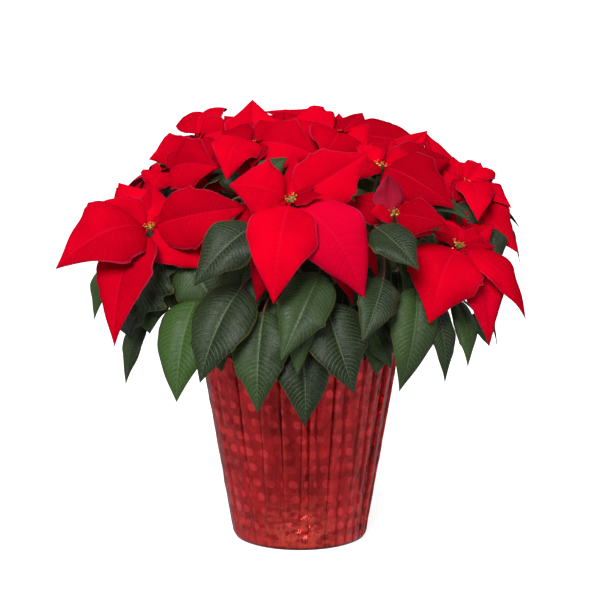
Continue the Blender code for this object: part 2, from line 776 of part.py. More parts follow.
def cutter(name, foot, height, radius, sides, cutters):
    """An upright cylinder that takes a hole out, hidden itself."""
    made = cone_object(name, foot, Vector((0, 0, 1)), height, radius, radius, sides, cutters)
    made.hide_render = True
    made.display_type = "WIRE"
    return made


def cut(target, tool):
    """Takes the cutter out of the target."""
    difference = target.modifiers.new("cut", "BOOLEAN")
    difference.operation = "DIFFERENCE"
    difference.object = tool
    difference.solver = "EXACT"


def build_pot(collection, cutters, made_of):
    """The nursery pot: a thin tapered wall with a wider rim, a floor and drain holes."""
    foot = COVER_FLOOR + SEAT_GAP
    top = foot + POT_HEIGHT
    rim = POT_TOP_RADIUS + POT_RIM_OUT
    profile = [
        (0, foot),
        (POT_BASE_RADIUS, foot),
        (POT_TOP_RADIUS, top - POT_RIM_HEIGHT),
        (rim, top - POT_RIM_HEIGHT),
        (rim, top),
        (rim - POT_WALL, top),
        (POT_TOP_RADIUS - POT_WALL, top - POT_RIM_HEIGHT - POT_WALL),
        (POT_BASE_RADIUS - POT_WALL, foot + POT_WALL),
        (0, foot + POT_WALL),
    ]
    pot = turned("nursery_pot", profile, POT_SIDES, collection, made_of)
    for i in range(DRAIN_HOLES):
        angle = 2 * math.pi * (i + 0.5) / DRAIN_HOLES
        place = Vector((DRAIN_HOLE_AT * math.cos(angle), DRAIN_HOLE_AT * math.sin(angle), foot - CUT_PAST))
        depth = POT_WALL + CUT_PAST * 2
        cut(pot, cutter(f"drain_cutter_{i}", place, depth, DRAIN_HOLE_RADIUS, DRAIN_HOLE_SIDES, cutters))
    return pot


def build_soil(collection, cutters, made_of):
    """The potting mix, a low crown at its top, with a plain hole for each trunk."""
    foot = COVER_FLOOR + SEAT_GAP + POT_WALL + SEAT_GAP
    slope = (POT_TOP_RADIUS - POT_BASE_RADIUS) / (POT_HEIGHT - POT_RIM_HEIGHT)
    inside = POT_BASE_RADIUS - POT_WALL - SEAT_GAP * 2
    edge = inside + slope * (SOIL_HEIGHT - SOIL_CROWN - foot)
    profile = [
        (0, foot),
        (inside, foot),
        (edge, SOIL_HEIGHT - SOIL_CROWN),
        (edge * SOIL_CROWN_SHARE, SOIL_HEIGHT),
        (0, SOIL_HEIGHT),
    ]
    soil = turned("potting_mix", profile, SOIL_SIDES, collection, made_of)
    for name, (x, y) in TRUNKS.items():
        place = Vector((x, y, SOIL_HEIGHT - STEM_HOLE_DEPTH))
        depth = STEM_HOLE_DEPTH + CUT_PAST
        cut(soil, cutter("stem_cutter_" + name, place, depth, TRUNK_RADIUS + SEAT_GAP, TRUNK_SIDES, cutters))
    return soil


def build_leafy_stem(trunk, leaves, collection, made_of):
    """One rooted plant: its trunk, its branches, and its leaves on their stalks."""
    x, y = TRUNKS[trunk]
    foot = Vector((x, y, SOIL_HEIGHT - STEM_HOLE_DEPTH + SEAT_GAP))
    height = STEM_HOLE_DEPTH - SEAT_GAP + TRUNK_TOP
    upright = Vector((0, 0, 1))
    pieces = [cone_object("trunk", foot, upright, height, TRUNK_RADIUS, TRUNK_RADIUS, TRUNK_SIDES, collection)]
    for name, head in HEADS.items():
        if head[3] == trunk:
            radii = np.linspace(BRANCH_RADIUS, BRANCH_TIP_RADIUS, BRANCH_POINTS + 1)
            pieces.append(tube_object("branch", branch_path(name), radii, collection))
    pieces += [blade_object("leaf", blade, collection) for blade in leaves]
    return joined("leafy_stem_" + trunk, pieces, made_of, collection)


def build_bracts(name, blades, collection, made_of):
    """One head's rosette of bracts on its hub."""
    top, face = head_frame(name)
    foot = top - face * HUB_HEIGHT
    pieces = [cone_object("hub", foot, face, HUB_HEIGHT, HUB_RADIUS, HUB_RADIUS, HUB_SIDES, collection)]
    pieces += [blade_object("bract", blade, collection) for blade in blades]
    return joined("bracts_" + name, pieces, made_of, collection)


def build_cups(name, collection, made_of):
    """The cluster of cups at a head's centre, on a small plate seated on the hub."""
    top, face = head_frame(name)
    foot = top + face * SEAT_GAP
    side = face.orthogonal().normalized()
    pieces = [cone_object("plate", foot, face, CUP_PLATE, HUB_RADIUS, HUB_RADIUS, HUB_SIDES, collection)]
    for i in range(CUP_COUNT):
        out = Matrix.Rotation(2 * math.pi * i / CUP_COUNT, 3, face) @ side
        start = foot + out * CUP_RING + face * CUP_SINK
        axis = (face + out * CUP_SPLAY).normalized()
        pieces.append(
            cone_object("cup", start, axis, CUP_HEIGHT, CUP_FOOT_RADIUS, CUP_MOUTH_RADIUS, CUP_SIDES, collection)
        )
    return joined("cyathia_" + name, pieces, made_of, collection)


def stand_in_trees(crowd):
    """Search trees of the pot cover, the branches and the cups, which stand where they do before any blade."""
    sides = COVER_PLEATS // 2
    corners = []
    for level in (0, 1):
        radius = cover_radius(level, 0) + ROD_CLEARANCE
        for i in range(sides):
            angle = 2 * math.pi * i / sides
            height = level * (COVER_HEIGHT + ROD_CLEARANCE)
            corners.append((radius * math.cos(angle), radius * math.sin(angle), height))
    faces = [(i, (i + 1) % sides, (i + 1) % sides + sides, i + sides) for i in range(sides)]
    crowd.add("pot_cover", search_tree(np.array(corners), faces), None)
    for name in HEADS:
        top, face = head_frame(name)
        path = branch_path(name)
        for start, end in zip(path, path[1:]):
            crowd.add("leafy_stem_" + HEADS[name][3], rod_tree(start, end, BRANCH_RADIUS), None)
        crowd.add("bracts_" + name, rod_tree(top - face * HUB_HEIGHT, top, HUB_RADIUS), None)
        cluster = rod_tree(top + face * SEAT_GAP, top + face * CUP_HEIGHT, CLUSTER_FOOT_RADIUS, CLUSTER_TOP_RADIUS)
        crowd.add("cyathia_" + name, cluster, None)


def build():
    """The whole plant in its pot."""
    for old in list(bpy.data.objects):
        bpy.data.objects.remove(old)
    collection = bpy.data.collections.new("poinsettia")
    cutters = bpy.data.collections.new("cutters")
    cutters.hide_render = True
    for made in (collection, cutters):
        bpy.context.scene.collection.children.link(made)
    red = material("bract_red", (0.75, 0.01, 0.02), 0.5)
    green = material("leaf_green", (0.05, 0.12, 0.04), 0.5)
    yellow = material("cyathia_yellow", (0.55, 0.55, 0.08), 0.5)
    foil = material("foil_red", (0.35, 0.02, 0.03), 0.3, 0.8)
    plastic = material("pot_plastic", (0.03, 0.03, 0.03), 0.6)
    earth = material("potting_mix", (0.04, 0.025, 0.015), 0.9)

    crowd = Crowd()
    stand_in_trees(crowd)
    bracts = {name: [] for name in HEADS}
    place_bracts(crowd, bracts, BRACTS)
    leaves = place_leaves(crowd)
    place_bracts(crowd, bracts, BRACTS_BEHIND)
    place_ring_bracts(crowd, bracts)
    place_ring_leaves(crowd, leaves)

    build_cover(collection, foil)
    build_pot(collection, cutters, plastic)
    build_soil(collection, cutters, earth)
    for trunk in TRUNKS:
        build_leafy_stem(trunk, leaves[trunk], collection, green)
    for name in HEADS:
        build_bracts(name, bracts[name], collection, red)
        build_cups(name, collection, yellow)


build()
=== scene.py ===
"""The looks of a potted poinsettia in its pleated foil cover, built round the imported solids."""

import math
import random
from typing import NamedTuple

import bpy
import numpy as np
from bpy.props import FloatProperty, FloatVectorProperty, IntProperty, PointerProperty
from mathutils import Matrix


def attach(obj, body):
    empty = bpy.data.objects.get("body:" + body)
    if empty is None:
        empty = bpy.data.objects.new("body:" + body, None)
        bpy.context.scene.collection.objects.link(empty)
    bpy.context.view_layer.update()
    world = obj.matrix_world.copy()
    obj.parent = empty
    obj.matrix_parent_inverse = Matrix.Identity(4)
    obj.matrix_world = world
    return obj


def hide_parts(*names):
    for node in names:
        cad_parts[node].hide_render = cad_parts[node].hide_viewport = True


bl_info = {
    "name": "Potted poinsettia",
    "version": (1, 0, 0),
    "blender": (4, 5, 0),
    "location": "View3D > Sidebar > Poinsettia",
    "description": "Builds the bracts, leaves, cups, foil cover and stage of a potted poinsettia",
    "category": "Add Mesh",
}

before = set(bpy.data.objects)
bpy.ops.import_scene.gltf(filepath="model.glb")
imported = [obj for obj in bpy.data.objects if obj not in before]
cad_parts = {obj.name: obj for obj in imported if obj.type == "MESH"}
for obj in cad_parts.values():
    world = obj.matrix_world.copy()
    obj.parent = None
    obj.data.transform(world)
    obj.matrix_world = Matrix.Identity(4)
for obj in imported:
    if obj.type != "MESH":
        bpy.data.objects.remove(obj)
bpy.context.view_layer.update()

# The view: the picture is so many steps wide, each so long at the pot's axis
PICTURE_STEPS = 600
VIEW_STEP = 0.0009
VIEW_DISTANCE = 2.0
VIEW_PITCH = math.radians(10)
AIM_HEIGHT = 0.2165
SENSOR_WIDTH = 36

WHITE = (1.0, 1.0, 1.0, 1.0)

# A direction that no axis here runs along, for setting one way square to another
ODD_WAY = (0.31, 0.83, 0.47)

# The range that a phase or a turn about an axis is drawn from
ANY_ANGLE = (0, 6.3)

# Foil cover
COVER_BASE_RADIUS = 0.0600
COVER_TOP_RADIUS = 0.0890
COVER_HEIGHT = 0.178
COVER_WALL = 0.0008
COVER_FLOOR = 0.0012
COVER_FOOT_ROUND = 0.003
COVER_FOOT_EDGE = 0.0009

# Its plain inside: how far that lies in from the middle of the pleats, and the height of its foot
COVER_INSIDE = 0.0024
COVER_INSIDE_FOOT = 0.012

# Its pleats: where a pleat has its points, the share of it that is the steep face, and the seed of the draws
PLEAT_STEPS = (0, 0.05, 0.12, 0.2, 0.32, 0.45, 0.6, 0.75, 0.88, 0.96)
PLEAT_FACE = 0.12
PLEAT_SEED = 5

# Its rows of points, closer to the foot: the shares of the height between which they lie, and their numbers
PLEAT_START = 0.022
CLOSE_ROWS = 26
CLOSE_ROWS_END = 0.26
WIDE_ROWS = 44

# How far the rows of dots lean
DOT_ROW_LEAN = 0.15

# How much longer the slanting wall is than its height
WALL_SLANT = 1.013

# The more crumpled patch of the foil, which also gets painted highlight: how far it reaches round the front,
# and its height and reach up
PATCH_ROUND = 0.5
PATCH_HEIGHT = 0.016
PATCH_REACH = 0.026

# How many shards of its painted broken highlight go to a metre, each way
SHARDS = (150.0, 150.0, 270.0)

# Nursery pot and potting mix
POT_BASE_RADIUS = 0.0535
POT_TOP_RADIUS = 0.0775
POT_HEIGHT = 0.160
POT_WALL = 0.0015
POT_RIM_HEIGHT = 0.012
POT_RIM_OUT = 0.0025
POT_FOOT_EDGE = 0.001
POT_RIM_EDGE = 0.0005
SEAT_GAP = 0.0003
SOIL_HEIGHT = 0.142
SOIL_CROWN = 0.004
STEM_HOLE_DEPTH = 0.045
LUMP_HEIGHT = 0.0012
LUMPS_SUNK = 0.0004

# Stems
TRUNKS = {"left": (-0.030, 0.008), "middle": (0.012, -0.028), "right": (0.028, 0.032)}
TRUNK_RADIUS = 0.0042
TRUNK_TOP = 0.020
BRANCH_RADIUS = 0.0027
BRANCH_TIP_RADIUS = 0.0021
BRANCH_LEAN = 0.8
BRANCH_RISE = 0.25
BRANCH_ARRIVAL = 0.28
BRANCH_STEPS = 24
NECK = 0.006

# The share of a branch at which a leaf stands where the branch's curve meets its neck
NECK_SHARE = 0.8

# Heads
HUB_RADIUS = 0.0042
HUB_HEIGHT = 0.0100
ROOT_DEPTH = 0.0016
ROOT_OUT = 0.0016
HUB_TILT = 3.0

# Blades: the share of a bract's length that is its stalk, a leaf's arch, and how far a leaf looks up
STALK_SHARE = 0.10
LEAF_ARCH = 0.12
LEAF_FACE_RISE = 0.8

# A blade's midrib: where it bends, and how far it bows and twists at most
BEND_AT = 0.45
BOW = 0.04
TWIST = 0.25

# A blade's outline: its curve, its drawn out tip, its shoulders, its small points and its deep waves
RISE_POWER = 0.47
FALL_POWER = 0.85
DRAWN_OUT = 0.50
SHOULDER = 0.10
SHOULDER_PLACES = (0.36, 0.55)
POINT_SPAN = 0.040
POINT_PLACES = (0.40, 0.75)
POINT_HEIGHTS = (0, 0, 0.06, 0.12)
TEETH = 4
TOOTH_DEPTH = 0.22
TOOTH_SHIFT = 0.05
STALK_HALF_WIDTH = 0.0012
TIP_HALF_WIDTH = 0.00012

# A blade's relief: its V, its droop, its puffs and waves, and the number and sweep of its side veins
GROOVE = 0.40
DROOP = 0.46
PUFF = 0.040
WAVE_SPEED = (1.2, 2.2)
WAVE_HEIGHT = (0.08, 0.22)
VEINS = 22
SLANT = 0.06
SWEEP = 0.09

# A blade's body: half its thickness at the edge, what the middle adds, and the midrib under it
EDGE_BODY = 0.00008
MIDDLE_BODY = 0.00022
RIB_HALF_WIDTH = 0.0012
RIB_SUNK = 0.0004
RIB_PROUD = 0.0009

# Leaf stalks: how far one runs into its blade, and its radii at the branch and at the blade
PETIOLE_INTO = 0.003
PETIOLE_RADII = (0.0015, 0.0010)

# The grid of a blade: the length of a row and of a column, and the fewest and most of each
ROW_STEP = 0.0022
ROWS = (14, 56)
COLUMN_STEP = 0.0034
HALF_COLUMNS = (3, 9)

# The way that a blade turned to the front faces
FRONT = np.array((0.0, -1.0, 0.18))

# Each head's top in mm and the trunk that bears it
HEADS = {
    "h01": (-8, -105, 322, "middle"),
    "h02": (-131, -55, 291, "left"),
    "h03": (80, -85, 307, "middle"),
    "h04": (72, -10, 340, "right"),
    "h05": (138, -60, 276, "middle"),
    "h06": (-121, 20, 332, "left"),
    "h07": (-96, 80, 354, "left"),
    "h08": (-41, 5, 359, "left"),
    "h09": (37, 60, 363, "right"),
    "h10": (152, 30, 321, "right"),
    "h11": (-105, 140, 310, "left"),
    "h12": (-6, 155, 326, "right"),
    "h13": (93, 135, 316, "right"),
    "h14": (12, -20, 308, "right"),
}

# Each head's bracts: the tip and the width in mm, the arch, and the share turned to the front
BRACTS = {
    "h01": (
        (-22, -158, 241, 60, 0.2, 0.3),
        (54, -128, 240, 60, 0.22, 0.6),
        (58, -85, 359, 56, -0.06, 0.8),
        (-60, -104, 333, 50, 0.22, 0.6),
        (-5, -74, 359, 20, -0.15, 0.5),
        (-37, -106, 233, 36, 0.2, 0.4),
        (45, -95, 230, 38, 0.2, 0.4),
        (67, -90, 249, 36, 0.25, 0.3),
        (-8, -52, 300, 34, 0.2, 0),
        (-57, -80, 299, 44, 0.1, 0.6),
    ),
    "h02": (
        (-209, -95, 260, 70, 0.28, 0.6),
        (-158, -112, 196, 54, 0.2, 0.4),
        (-43, -90, 313, 56, 0.12, 0.7),
        (-76, -83, 257, 42, 0.15, 0.6),
        (-131, -35, 326, 36, -0.12, 0.6),
        (-164, 4, 318, 44, 0.02, 0.7),
        (-190, -38, 278, 34, 0.2, 0),
        (-82, -70, 266, 52, 0.12, 0.6),
        (-161, -10, 324, 44, 0, 0.6),
        (-183, -30, 306, 42, 0.05, 0.6),
        (-136, -5, 327, 32, -0.05, 0.6),
    ),
    "h03": (
        (124, -105, 300, 34, 0.1, 0.7),
        (60, -110, 311, 22, 0.05, 0.6),
        (75, -85, 341, 30, -0.16, 0.3),
        (46, -75, 320, 36, 0, 0.6),
        (108, -60, 312, 24, 0, 0.5),
        (86, -43, 294, 30, 0.2, 0),
        (113, -88, 289, 34, 0.1, 0.6),
    ),
    "h04": (
        (134, -55, 307, 54, 0.16, 0.7),
        (47, -50, 330, 18, 0.1, 0.6),
        (83, 20, 361, 36, -0.08, 0.6),
        (53, 0, 357, 32, -0.08, 0.6),
        (116, 45, 365, 36, -0.06, 0.7),
        (106, -10, 342, 34, 0.1, 0.6),
        (41, 30, 316, 34, 0.2, 0),
        (136, 30, 340, 44, 0.05, 0.6),
        (112, 35, 355, 42, -0.02, 0.6),
    ),
    "h05": (
        (110, -112, 216, 68, 0.18, 0.5),
        (196, -70, 212, 30, 0.24, 0.5),
        (164, -78, 190, 40, 0.18, 0.5),
        (120, -45, 303, 14, -0.12, 0.6),
        (135, -28, 305, 13, -0.12, 0.6),
        (149, -17, 301, 13, -0.12, 0.6),
        (171, -26, 289, 30, -0.03, 0.6),
        (141, -4, 255, 30, 0.2, 0),
        (170, -50, 268, 40, 0.05, 0.5),
        (129, -40, 295, 30, 0.0, 0.6),
    ),
    "h06": (
        (-72, -15, 338, 52, 0.12, 0.7),
        (-133, -10, 314, 34, 0.16, 0.7),
        (-139, 30, 317, 32, 0.0, 0.7),
        (-97, 22, 351, 30, -0.05, 0.6),
        (-150, 57, 309, 32, 0.02, 0),
        (-66, 10, 315, 40, 0.1, 0.6),
    ),
    "h07": (
        (-138, 50, 338, 46, 0.08, 0.7),
        (-84, 157, 362, 50, 0.22, 0.2),
        (-59, 70, 363, 42, 0.15, 0.7),
        (-85, 40, 326, 44, 0.18, 0.6),
        (-120, 62, 321, 40, 0.18, 0.6),
        (-69, 128, 325, 36, 0.2, 0),
        (-105, 133, 328, 36, 0.2, 0),
    ),
    "h08": (
        (-64, -45, 330, 44, 0.22, 0.6),
        (-43, 45, 393, 52, -0.08, 0.8),
        (16, -20, 349, 52, 0.15, 0.7),
        (-42, -29, 339, 28, 0.15, 0.6),
        (-7, 29, 376, 38, -0.04, 0.7),
        (-70, 20, 366, 34, 0.1, 0.6),
        (-29, 51, 339, 34, 0.2, 0),
        (-15, 60, 380, 34, 0.05, 0.6),
        (-85, 35, 328, 42, 0.1, 0.6),
        (-30, -30, 320, 42, 0.1, 0.5),
        (-2, -15, 334, 36, 0.05, 0.6),
        (-69, 50, 378, 32, 0.02, 0.6),
    ),
    "h09": (
        (-15, 80, 367, 50, 0.18, 0.5),
        (36, 80, 378, 18, -0.1, 0.6),
        (113, 45, 353, 44, 0.04, 0.6),
        (21, 10, 344, 50, 0.12, 0.7),
        (62, 39, 346, 38, 0.12, 0.7),
        (63, 111, 345, 36, 0.2, 0),
        (-7, 109, 353, 36, 0.2, 0),
        (-35, 100, 377, 36, 0.06, 0.4),
        (58, 90, 377, 30, 0.04, 0.4),
        (-2, 35, 346, 44, 0.08, 0.6),
    ),
    "h10": (
        (169, 76, 321, 32, 0.25, 0.3),
        (190, 30, 296, 30, 0.1, 0.4),
        (188, 0, 276, 44, 0.1, 0.6),
        (194, -20, 262, 44, 0.1, 0.6),
        (139, 40, 342, 18, -0.1, 0.6),
        (138, -5, 306, 26, 0.12, 0.6),
        (156, -38, 293, 34, 0.15, 0.7),
        (181, 75, 294, 36, 0.2, 0),
        (166, 89, 310, 36, 0.2, 0),
        (114, 45, 364, 34, -0.04, 0.6),
        (131, 12, 307, 38, 0.1, 0.6),
        (151, -12, 284, 32, 0.12, 0.6),
        (165, 50, 335, 30, 0.04, 0.5),
        (189, -2, 300, 26, 0.12, 0.5),
    ),
    "h11": (
        (-51, 194, 269, 40, 0.2, 0),
        (-110, 201, 290, 40, 0.2, 0),
        (-156, 175, 293, 40, 0.2, 0),
        (-170, 113, 295, 40, 0.2, 0),
        (-135, 75, 298, 40, 0.2, 0),
        (-79, 83, 280, 40, 0.2, 0),
    ),
    "h12": (
        (49, 117, 305, 40, 0.2, 0),
        (62, 173, 302, 40, 0.2, 0),
        (22, 215, 315, 40, 0.2, 0),
        (-36, 220, 287, 40, 0.2, 0),
        (-81, 143, 294, 40, 0.2, 0),
        (-60, 117, 306, 40, 0.2, 0),
    ),
    "h13": (
        (102, 64, 286, 40, 0.2, 0),
        (140, 95, 301, 40, 0.2, 0),
        (159, 139, 293, 40, 0.2, 0),
        (144, 189, 291, 40, 0.2, 0),
        (93, 195, 288, 40, 0.2, 0),
        (36, 169, 292, 40, 0.2, 0),
    ),
    "h14": (
        (55, 11, 291, 40, 0.2, 0),
        (-5, 32, 283, 40, 0.2, 0),
        (-38, -27, 289, 40, 0.2, 0),
        (11, -72, 286, 40, 0.2, 0),
        (53, -49, 295, 40, 0.2, 0),
        (45, -45, 301, 42, 0.1, 0.5),
    ),
}

# Leaves: the head whose branch bears each and the share of it where it stands, its base, tip and width
# in mm, and the share turned to the front
LEAVES = (
    ("h01", 0.84, (-40, -115, 300), (-89, -130, 251), 46, 0.5),
    ("h02", 0.8, (-97, -69, 267), (-59, -80, 211), 52, 0.5),
    ("h02", 0.62, (-90, -83, 231), (-106, -106, 146), 52, 0.5),
    ("h01", 0.62, (-50, -100, 245), (-85, -125, 167), 56, 0.5),
    ("h01", 0.5, (-31, -105, 225), (-36, -122, 140), 50, 0.5),
    ("h01", 0.45, (-2, -100, 208), (4, -115, 127), 50, 0.5),
    ("h01", 0.75, (17, -112, 259), (-16, -150, 191), 46, 0.5),
    ("h03", 0.6, (22, -110, 232), (46, -130, 159), 54, 0.5),
    ("h03", 0.7, (71, -105, 254), (52, -140, 205), 36, 0.5),
    ("h05", 0.6, (100, -94, 244), (85, -108, 156), 42, 0.5),
    ("h05", 0.62, (114, -82, 233), (125, -94, 161), 26, 0.5),
    ("h05", 0.65, (136, -60, 227), (146, -75, 171), 24, 0.5),
    ("h02", 0.6, (-139, -45, 208), (-153, -60, 152), 22, 0.5),
    ("h02", 0.75, (-167, -20, 254), (-182, -35, 205), 26, 0.5),
    ("h02", 0.7, (-117, -60, 266), (-147, -60, 195), 54, 0.5),
    ("h03", 0.85, (64, -110, 298), (99, -145, 267), 40, 0.5),
    ("h10", 0.8, (156, 5, 296), (180, 5, 261), 22, 0.5),
    ("h04", 0.85, (105, -35, 313), (150, -50, 294), 20, 0.5),
    ("h08", 0.85, (-26, -40, 332), (-35, -58, 347), 24, 0.5),
    ("h03", 0.5, (59, -85, 212), (79, -88, 172), 26, 0.5),
    ("h01", 0.55, (4, -121, 228), (-2, -134, 175), 24, 0.5),
    ("h01", 0.5, (-14, -86, 233), (-24, -94, 171), 34, 0.5),
    ("h01", 0.6, (-45, -84, 261), (-51, -98, 204), 42, 0.5),
    ("h08", 0.8, (-23, 30, 335), (11, 50, 321), 36, 0.5),
    ("h09", 0.75, (23, 70, 333), (-2, 70, 307), 36, 0.5),
    ("h04", 0.8, (47, 10, 326), (23, -10, 310), 34, 0.5),
    ("h12", 0.8, (-9, 110, 310), (-35, 90, 291), 34, 0.5),
    ("h02", 0.45, (-77, -60, 216), (-68, -80, 167), 40, 0.5),
    ("h03", 0.45, (63, -70, 218), (66, -85, 165), 40, 0.5),
    ("h05", 0.75, (104, -60, 280), (90, -80, 231), 40, 0.5),
    ("h02", 0.85, (-91, -50, 284), (-56, -60, 259), 40, 0.5),
    ("h01", 0.7, (-3, -75, 267), (19, -85, 212), 48, 0.5),
    ("h03", 0.75, (64, -75, 275), (43, -85, 224), 44, 0.5),
    ("h04", 0.75, (101, -20, 326), (129, -30, 288), 40, 0.5),
    ("h05", 0.55, (85, -60, 252), (80, -80, 200), 44, 0.5),
    ("h06", 0.85, (-118, 12, 318), (-104, 4, 283), 40, 0.5),
    ("h05", 0.8, (127, -30, 276), (105, -50, 236), 40, 0.5),
    ("h03", 0.8, (66, -58, 294), (43, -62, 272), 36, 0.5),
    ("h02", 0.75, (-121, -20, 254), (-95, -45, 208), 44, 0.5),
    ("h01", 0.5, (-33, -60, 242), (-24, -75, 202), 46, 0.7),
    ("h03", 0.5, (40, -55, 241), (33, -70, 201), 46, 0.7),
    ("h01", 0.6, (-55, -30, 265), (-44, -45, 232), 42, 0.7),
    ("h02", 0.7, (-133, -50, 230), (-131, -65, 198), 38, 0.7),
    ("h05", 0.6, (157, -20, 209), (168, -35, 181), 24, 0.7),
    ("h14", 0.9, (85, -20, 307), (81, -35, 282), 34, 0.7),
    ("h10", 0.7, (135, -10, 304), (152, -25, 277), 44, 0.7),
    ("h10", 0.75, (163, -20, 285), (171, -35, 251), 36, 0.7),
    ("h05", 0.8, (113, -30, 292), (121, -45, 267), 36, 0.7),
    ("h02", 0.7, (-156, -55, 228), (-148, -70, 195), 30, 0.7),
    ("h01", 0.5, (0, -50, 234), (3, -65, 192), 46, 0.7),
    ("h08", 0.8, (-62, 0, 339), (-47, -15, 312), 28, 0.7),
    ("h14", 0.9, (69, 30, 334), (78, 15, 312), 26, 0.7),
    ("h14", 0.9, (46, -20, 320), (51, -35, 298), 28, 0.7),
    ("h01", 0.8, (-61, -40, 307), (-54, -55, 285), 26, 0.7),
    ("h08", 0.8, (0, -5, 352), (5, -20, 329), 36, 0.7),
    ("h04", 0.45, (89, -15, 253), (126, -35, 185), 44, 0),
    ("h04", 0.6, (92, 10, 281), (129, 25, 217), 42, 0),
    ("h04", 0.78, (93, -13, 314), (126, -17, 261), 34, 0),
    ("h06", 0.45, (-113, 41, 249), (-147, 67, 181), 44, 0),
    ("h06", 0.6, (-130, 4, 275), (-168, -10, 211), 42, 0),
    ("h06", 0.78, (-139, 23, 307), (-171, 28, 254), 34, 0),
    ("h07", 0.45, (-81, 88, 262), (-97, 127, 194), 44, 0),
    ("h07", 0.6, (-113, 68, 293), (-152, 75, 229), 42, 0),
    ("h08", 0.45, (-69, 31, 265), (-104, 55, 197), 44, 0),
    ("h08", 0.6, (-70, -5, 297), (-108, -15, 233), 42, 0),
    ("h08", 0.78, (-64, 8, 333), (-97, 12, 280), 34, 0),
    ("h09", 0.45, (68, 67, 267), (105, 89, 199), 44, 0),
    ("h09", 0.6, (32, 86, 300), (33, 126, 236), 42, 0),
    ("h09", 0.78, (48, 79, 337), (65, 107, 284), 34, 0),
    ("h10", 0.45, (138, 15, 243), (178, 3, 175), 44, 0),
    ("h10", 0.6, (148, 51, 267), (178, 77, 203), 42, 0),
    ("h10", 0.78, (168, 34, 297), (201, 40, 245), 34, 0),
    ("h11", 0.45, (-76, 125, 236), (-83, 167, 168), 44, 0),
    ("h11", 0.6, (-118, 123, 257), (-155, 139, 193), 42, 0),
    ("h11", 0.78, (-115, 152, 286), (-134, 179, 234), 34, 0),
    ("h12", 0.45, (26, 138, 245), (44, 176, 177), 44, 0),
    ("h12", 0.6, (-20, 154, 270), (-41, 188, 206), 42, 0),
    ("h12", 0.78, (-6, 172, 301), (-7, 205, 249), 34, 0),
    ("h13", 0.45, (102, 108, 240), (139, 127, 172), 44, 0),
    ("h13", 0.6, (79, 144, 263), (82, 184, 199), 42, 0),
    ("h13", 0.78, (103, 148, 293), (121, 176, 240), 34, 0),
    ("h01", 0.9, (-36, -80, 333), (-11, -70, 353), 22, 0.7),
)

# The place in that table of the leaf with deep waves along its edge
TOOTHED_LEAF = 14


class Blade(NamedTuple):
    """A leaf or bract: its blade's ends, the side that it faces, its width, arch, stalk share and edge."""

    root: np.ndarray
    tip: np.ndarray
    face: np.ndarray
    width: float
    lift: float
    stalk: float
    toothed: bool


class Shell(NamedTuple):
    """A closed surface: its points, faces of four and of three, which of them stay flat, and its marks."""

    points: np.ndarray
    quads: np.ndarray
    tris: np.ndarray
    flat: np.ndarray
    uv: np.ndarray
    # On the foil, the tone mark carries painted highlight and the under mark painted shade in folds
    tone: np.ndarray
    under: np.ndarray
    finish: int


def unit(v):
    """A vector, or each row of several, at length one."""
    v = np.asarray(v, float)
    return v / np.linalg.norm(v, axis=-1, keepdims=True)


def cross_ways(axis):
    """Two ways square to an axis and to each other."""
    side = unit(np.cross(axis, ODD_WAY))
    return side, np.cross(axis, side)


def spoke(side, other, angle):
    """The way out from an axis at an angle from side to other."""
    return side * math.cos(angle) + other * math.sin(angle)


def skin(rings, uv=None, tone=0.5, under=0.0, flat=(), back=slice(0, 0), finish=0):
    """A closed surface carried over rings of points: each ring joined to the next, both ends closed by a fan.

    rings holds rows of equally many points. flat names the places round a ring whose faces stay unsmoothed.
    back names those on the far side of a thin sheet, whose faces split the same way as the ones they back.
    """
    rows, sides = rings.shape[:2]
    index = np.arange(rows * sides).reshape(rows, sides)
    ahead = np.roll(index, -1, axis=1)
    quads = np.stack([index[:-1], index[1:], ahead[1:], ahead[:-1]], axis=-1)
    quads[:, back] = np.roll(quads[:, back], 1, axis=-1)
    quads = quads.reshape(-1, 4)
    first, last = rows * sides, rows * sides + 1
    opening = np.stack([index[0], ahead[0], np.full(sides, first)], axis=-1)
    ending = np.stack([ahead[-1], index[-1], np.full(sides, last)], axis=-1)
    tris = np.concatenate([opening, ending])
    points = np.concatenate([rings.reshape(-1, 3), [rings[0].mean(axis=0), rings[-1].mean(axis=0)]])
    a, b, c, d = (points[quads[:, i]] for i in range(4))
    volume = (np.cross(a, b) * c).sum() + (np.cross(a, c) * d).sum()
    a, b, c = (points[tris[:, i]] for i in range(3))
    volume += (np.cross(a, b) * c).sum()
    if volume < 0:
        quads, tris = quads[:, ::-1], tris[:, ::-1]
    if uv is None:
        around, along = np.meshgrid(np.arange(sides) / sides, np.linspace(0, 1, rows))
        uv = np.stack([along, around], axis=-1)
    uv = np.concatenate([uv.reshape(-1, 2), [uv[0].mean(axis=0), uv[-1].mean(axis=0)]])
    marks = [np.broadcast_to(mark, (rows, sides)).reshape(-1) for mark in (tone, under)]
    marks = [np.concatenate([mark, [mark[0], mark[-1]]]) for mark in marks]
    unsmoothed = np.isin(np.tile(np.arange(sides), rows - 1), flat)
    return Shell(points, quads, tris, unsmoothed, uv, *marks, finish)


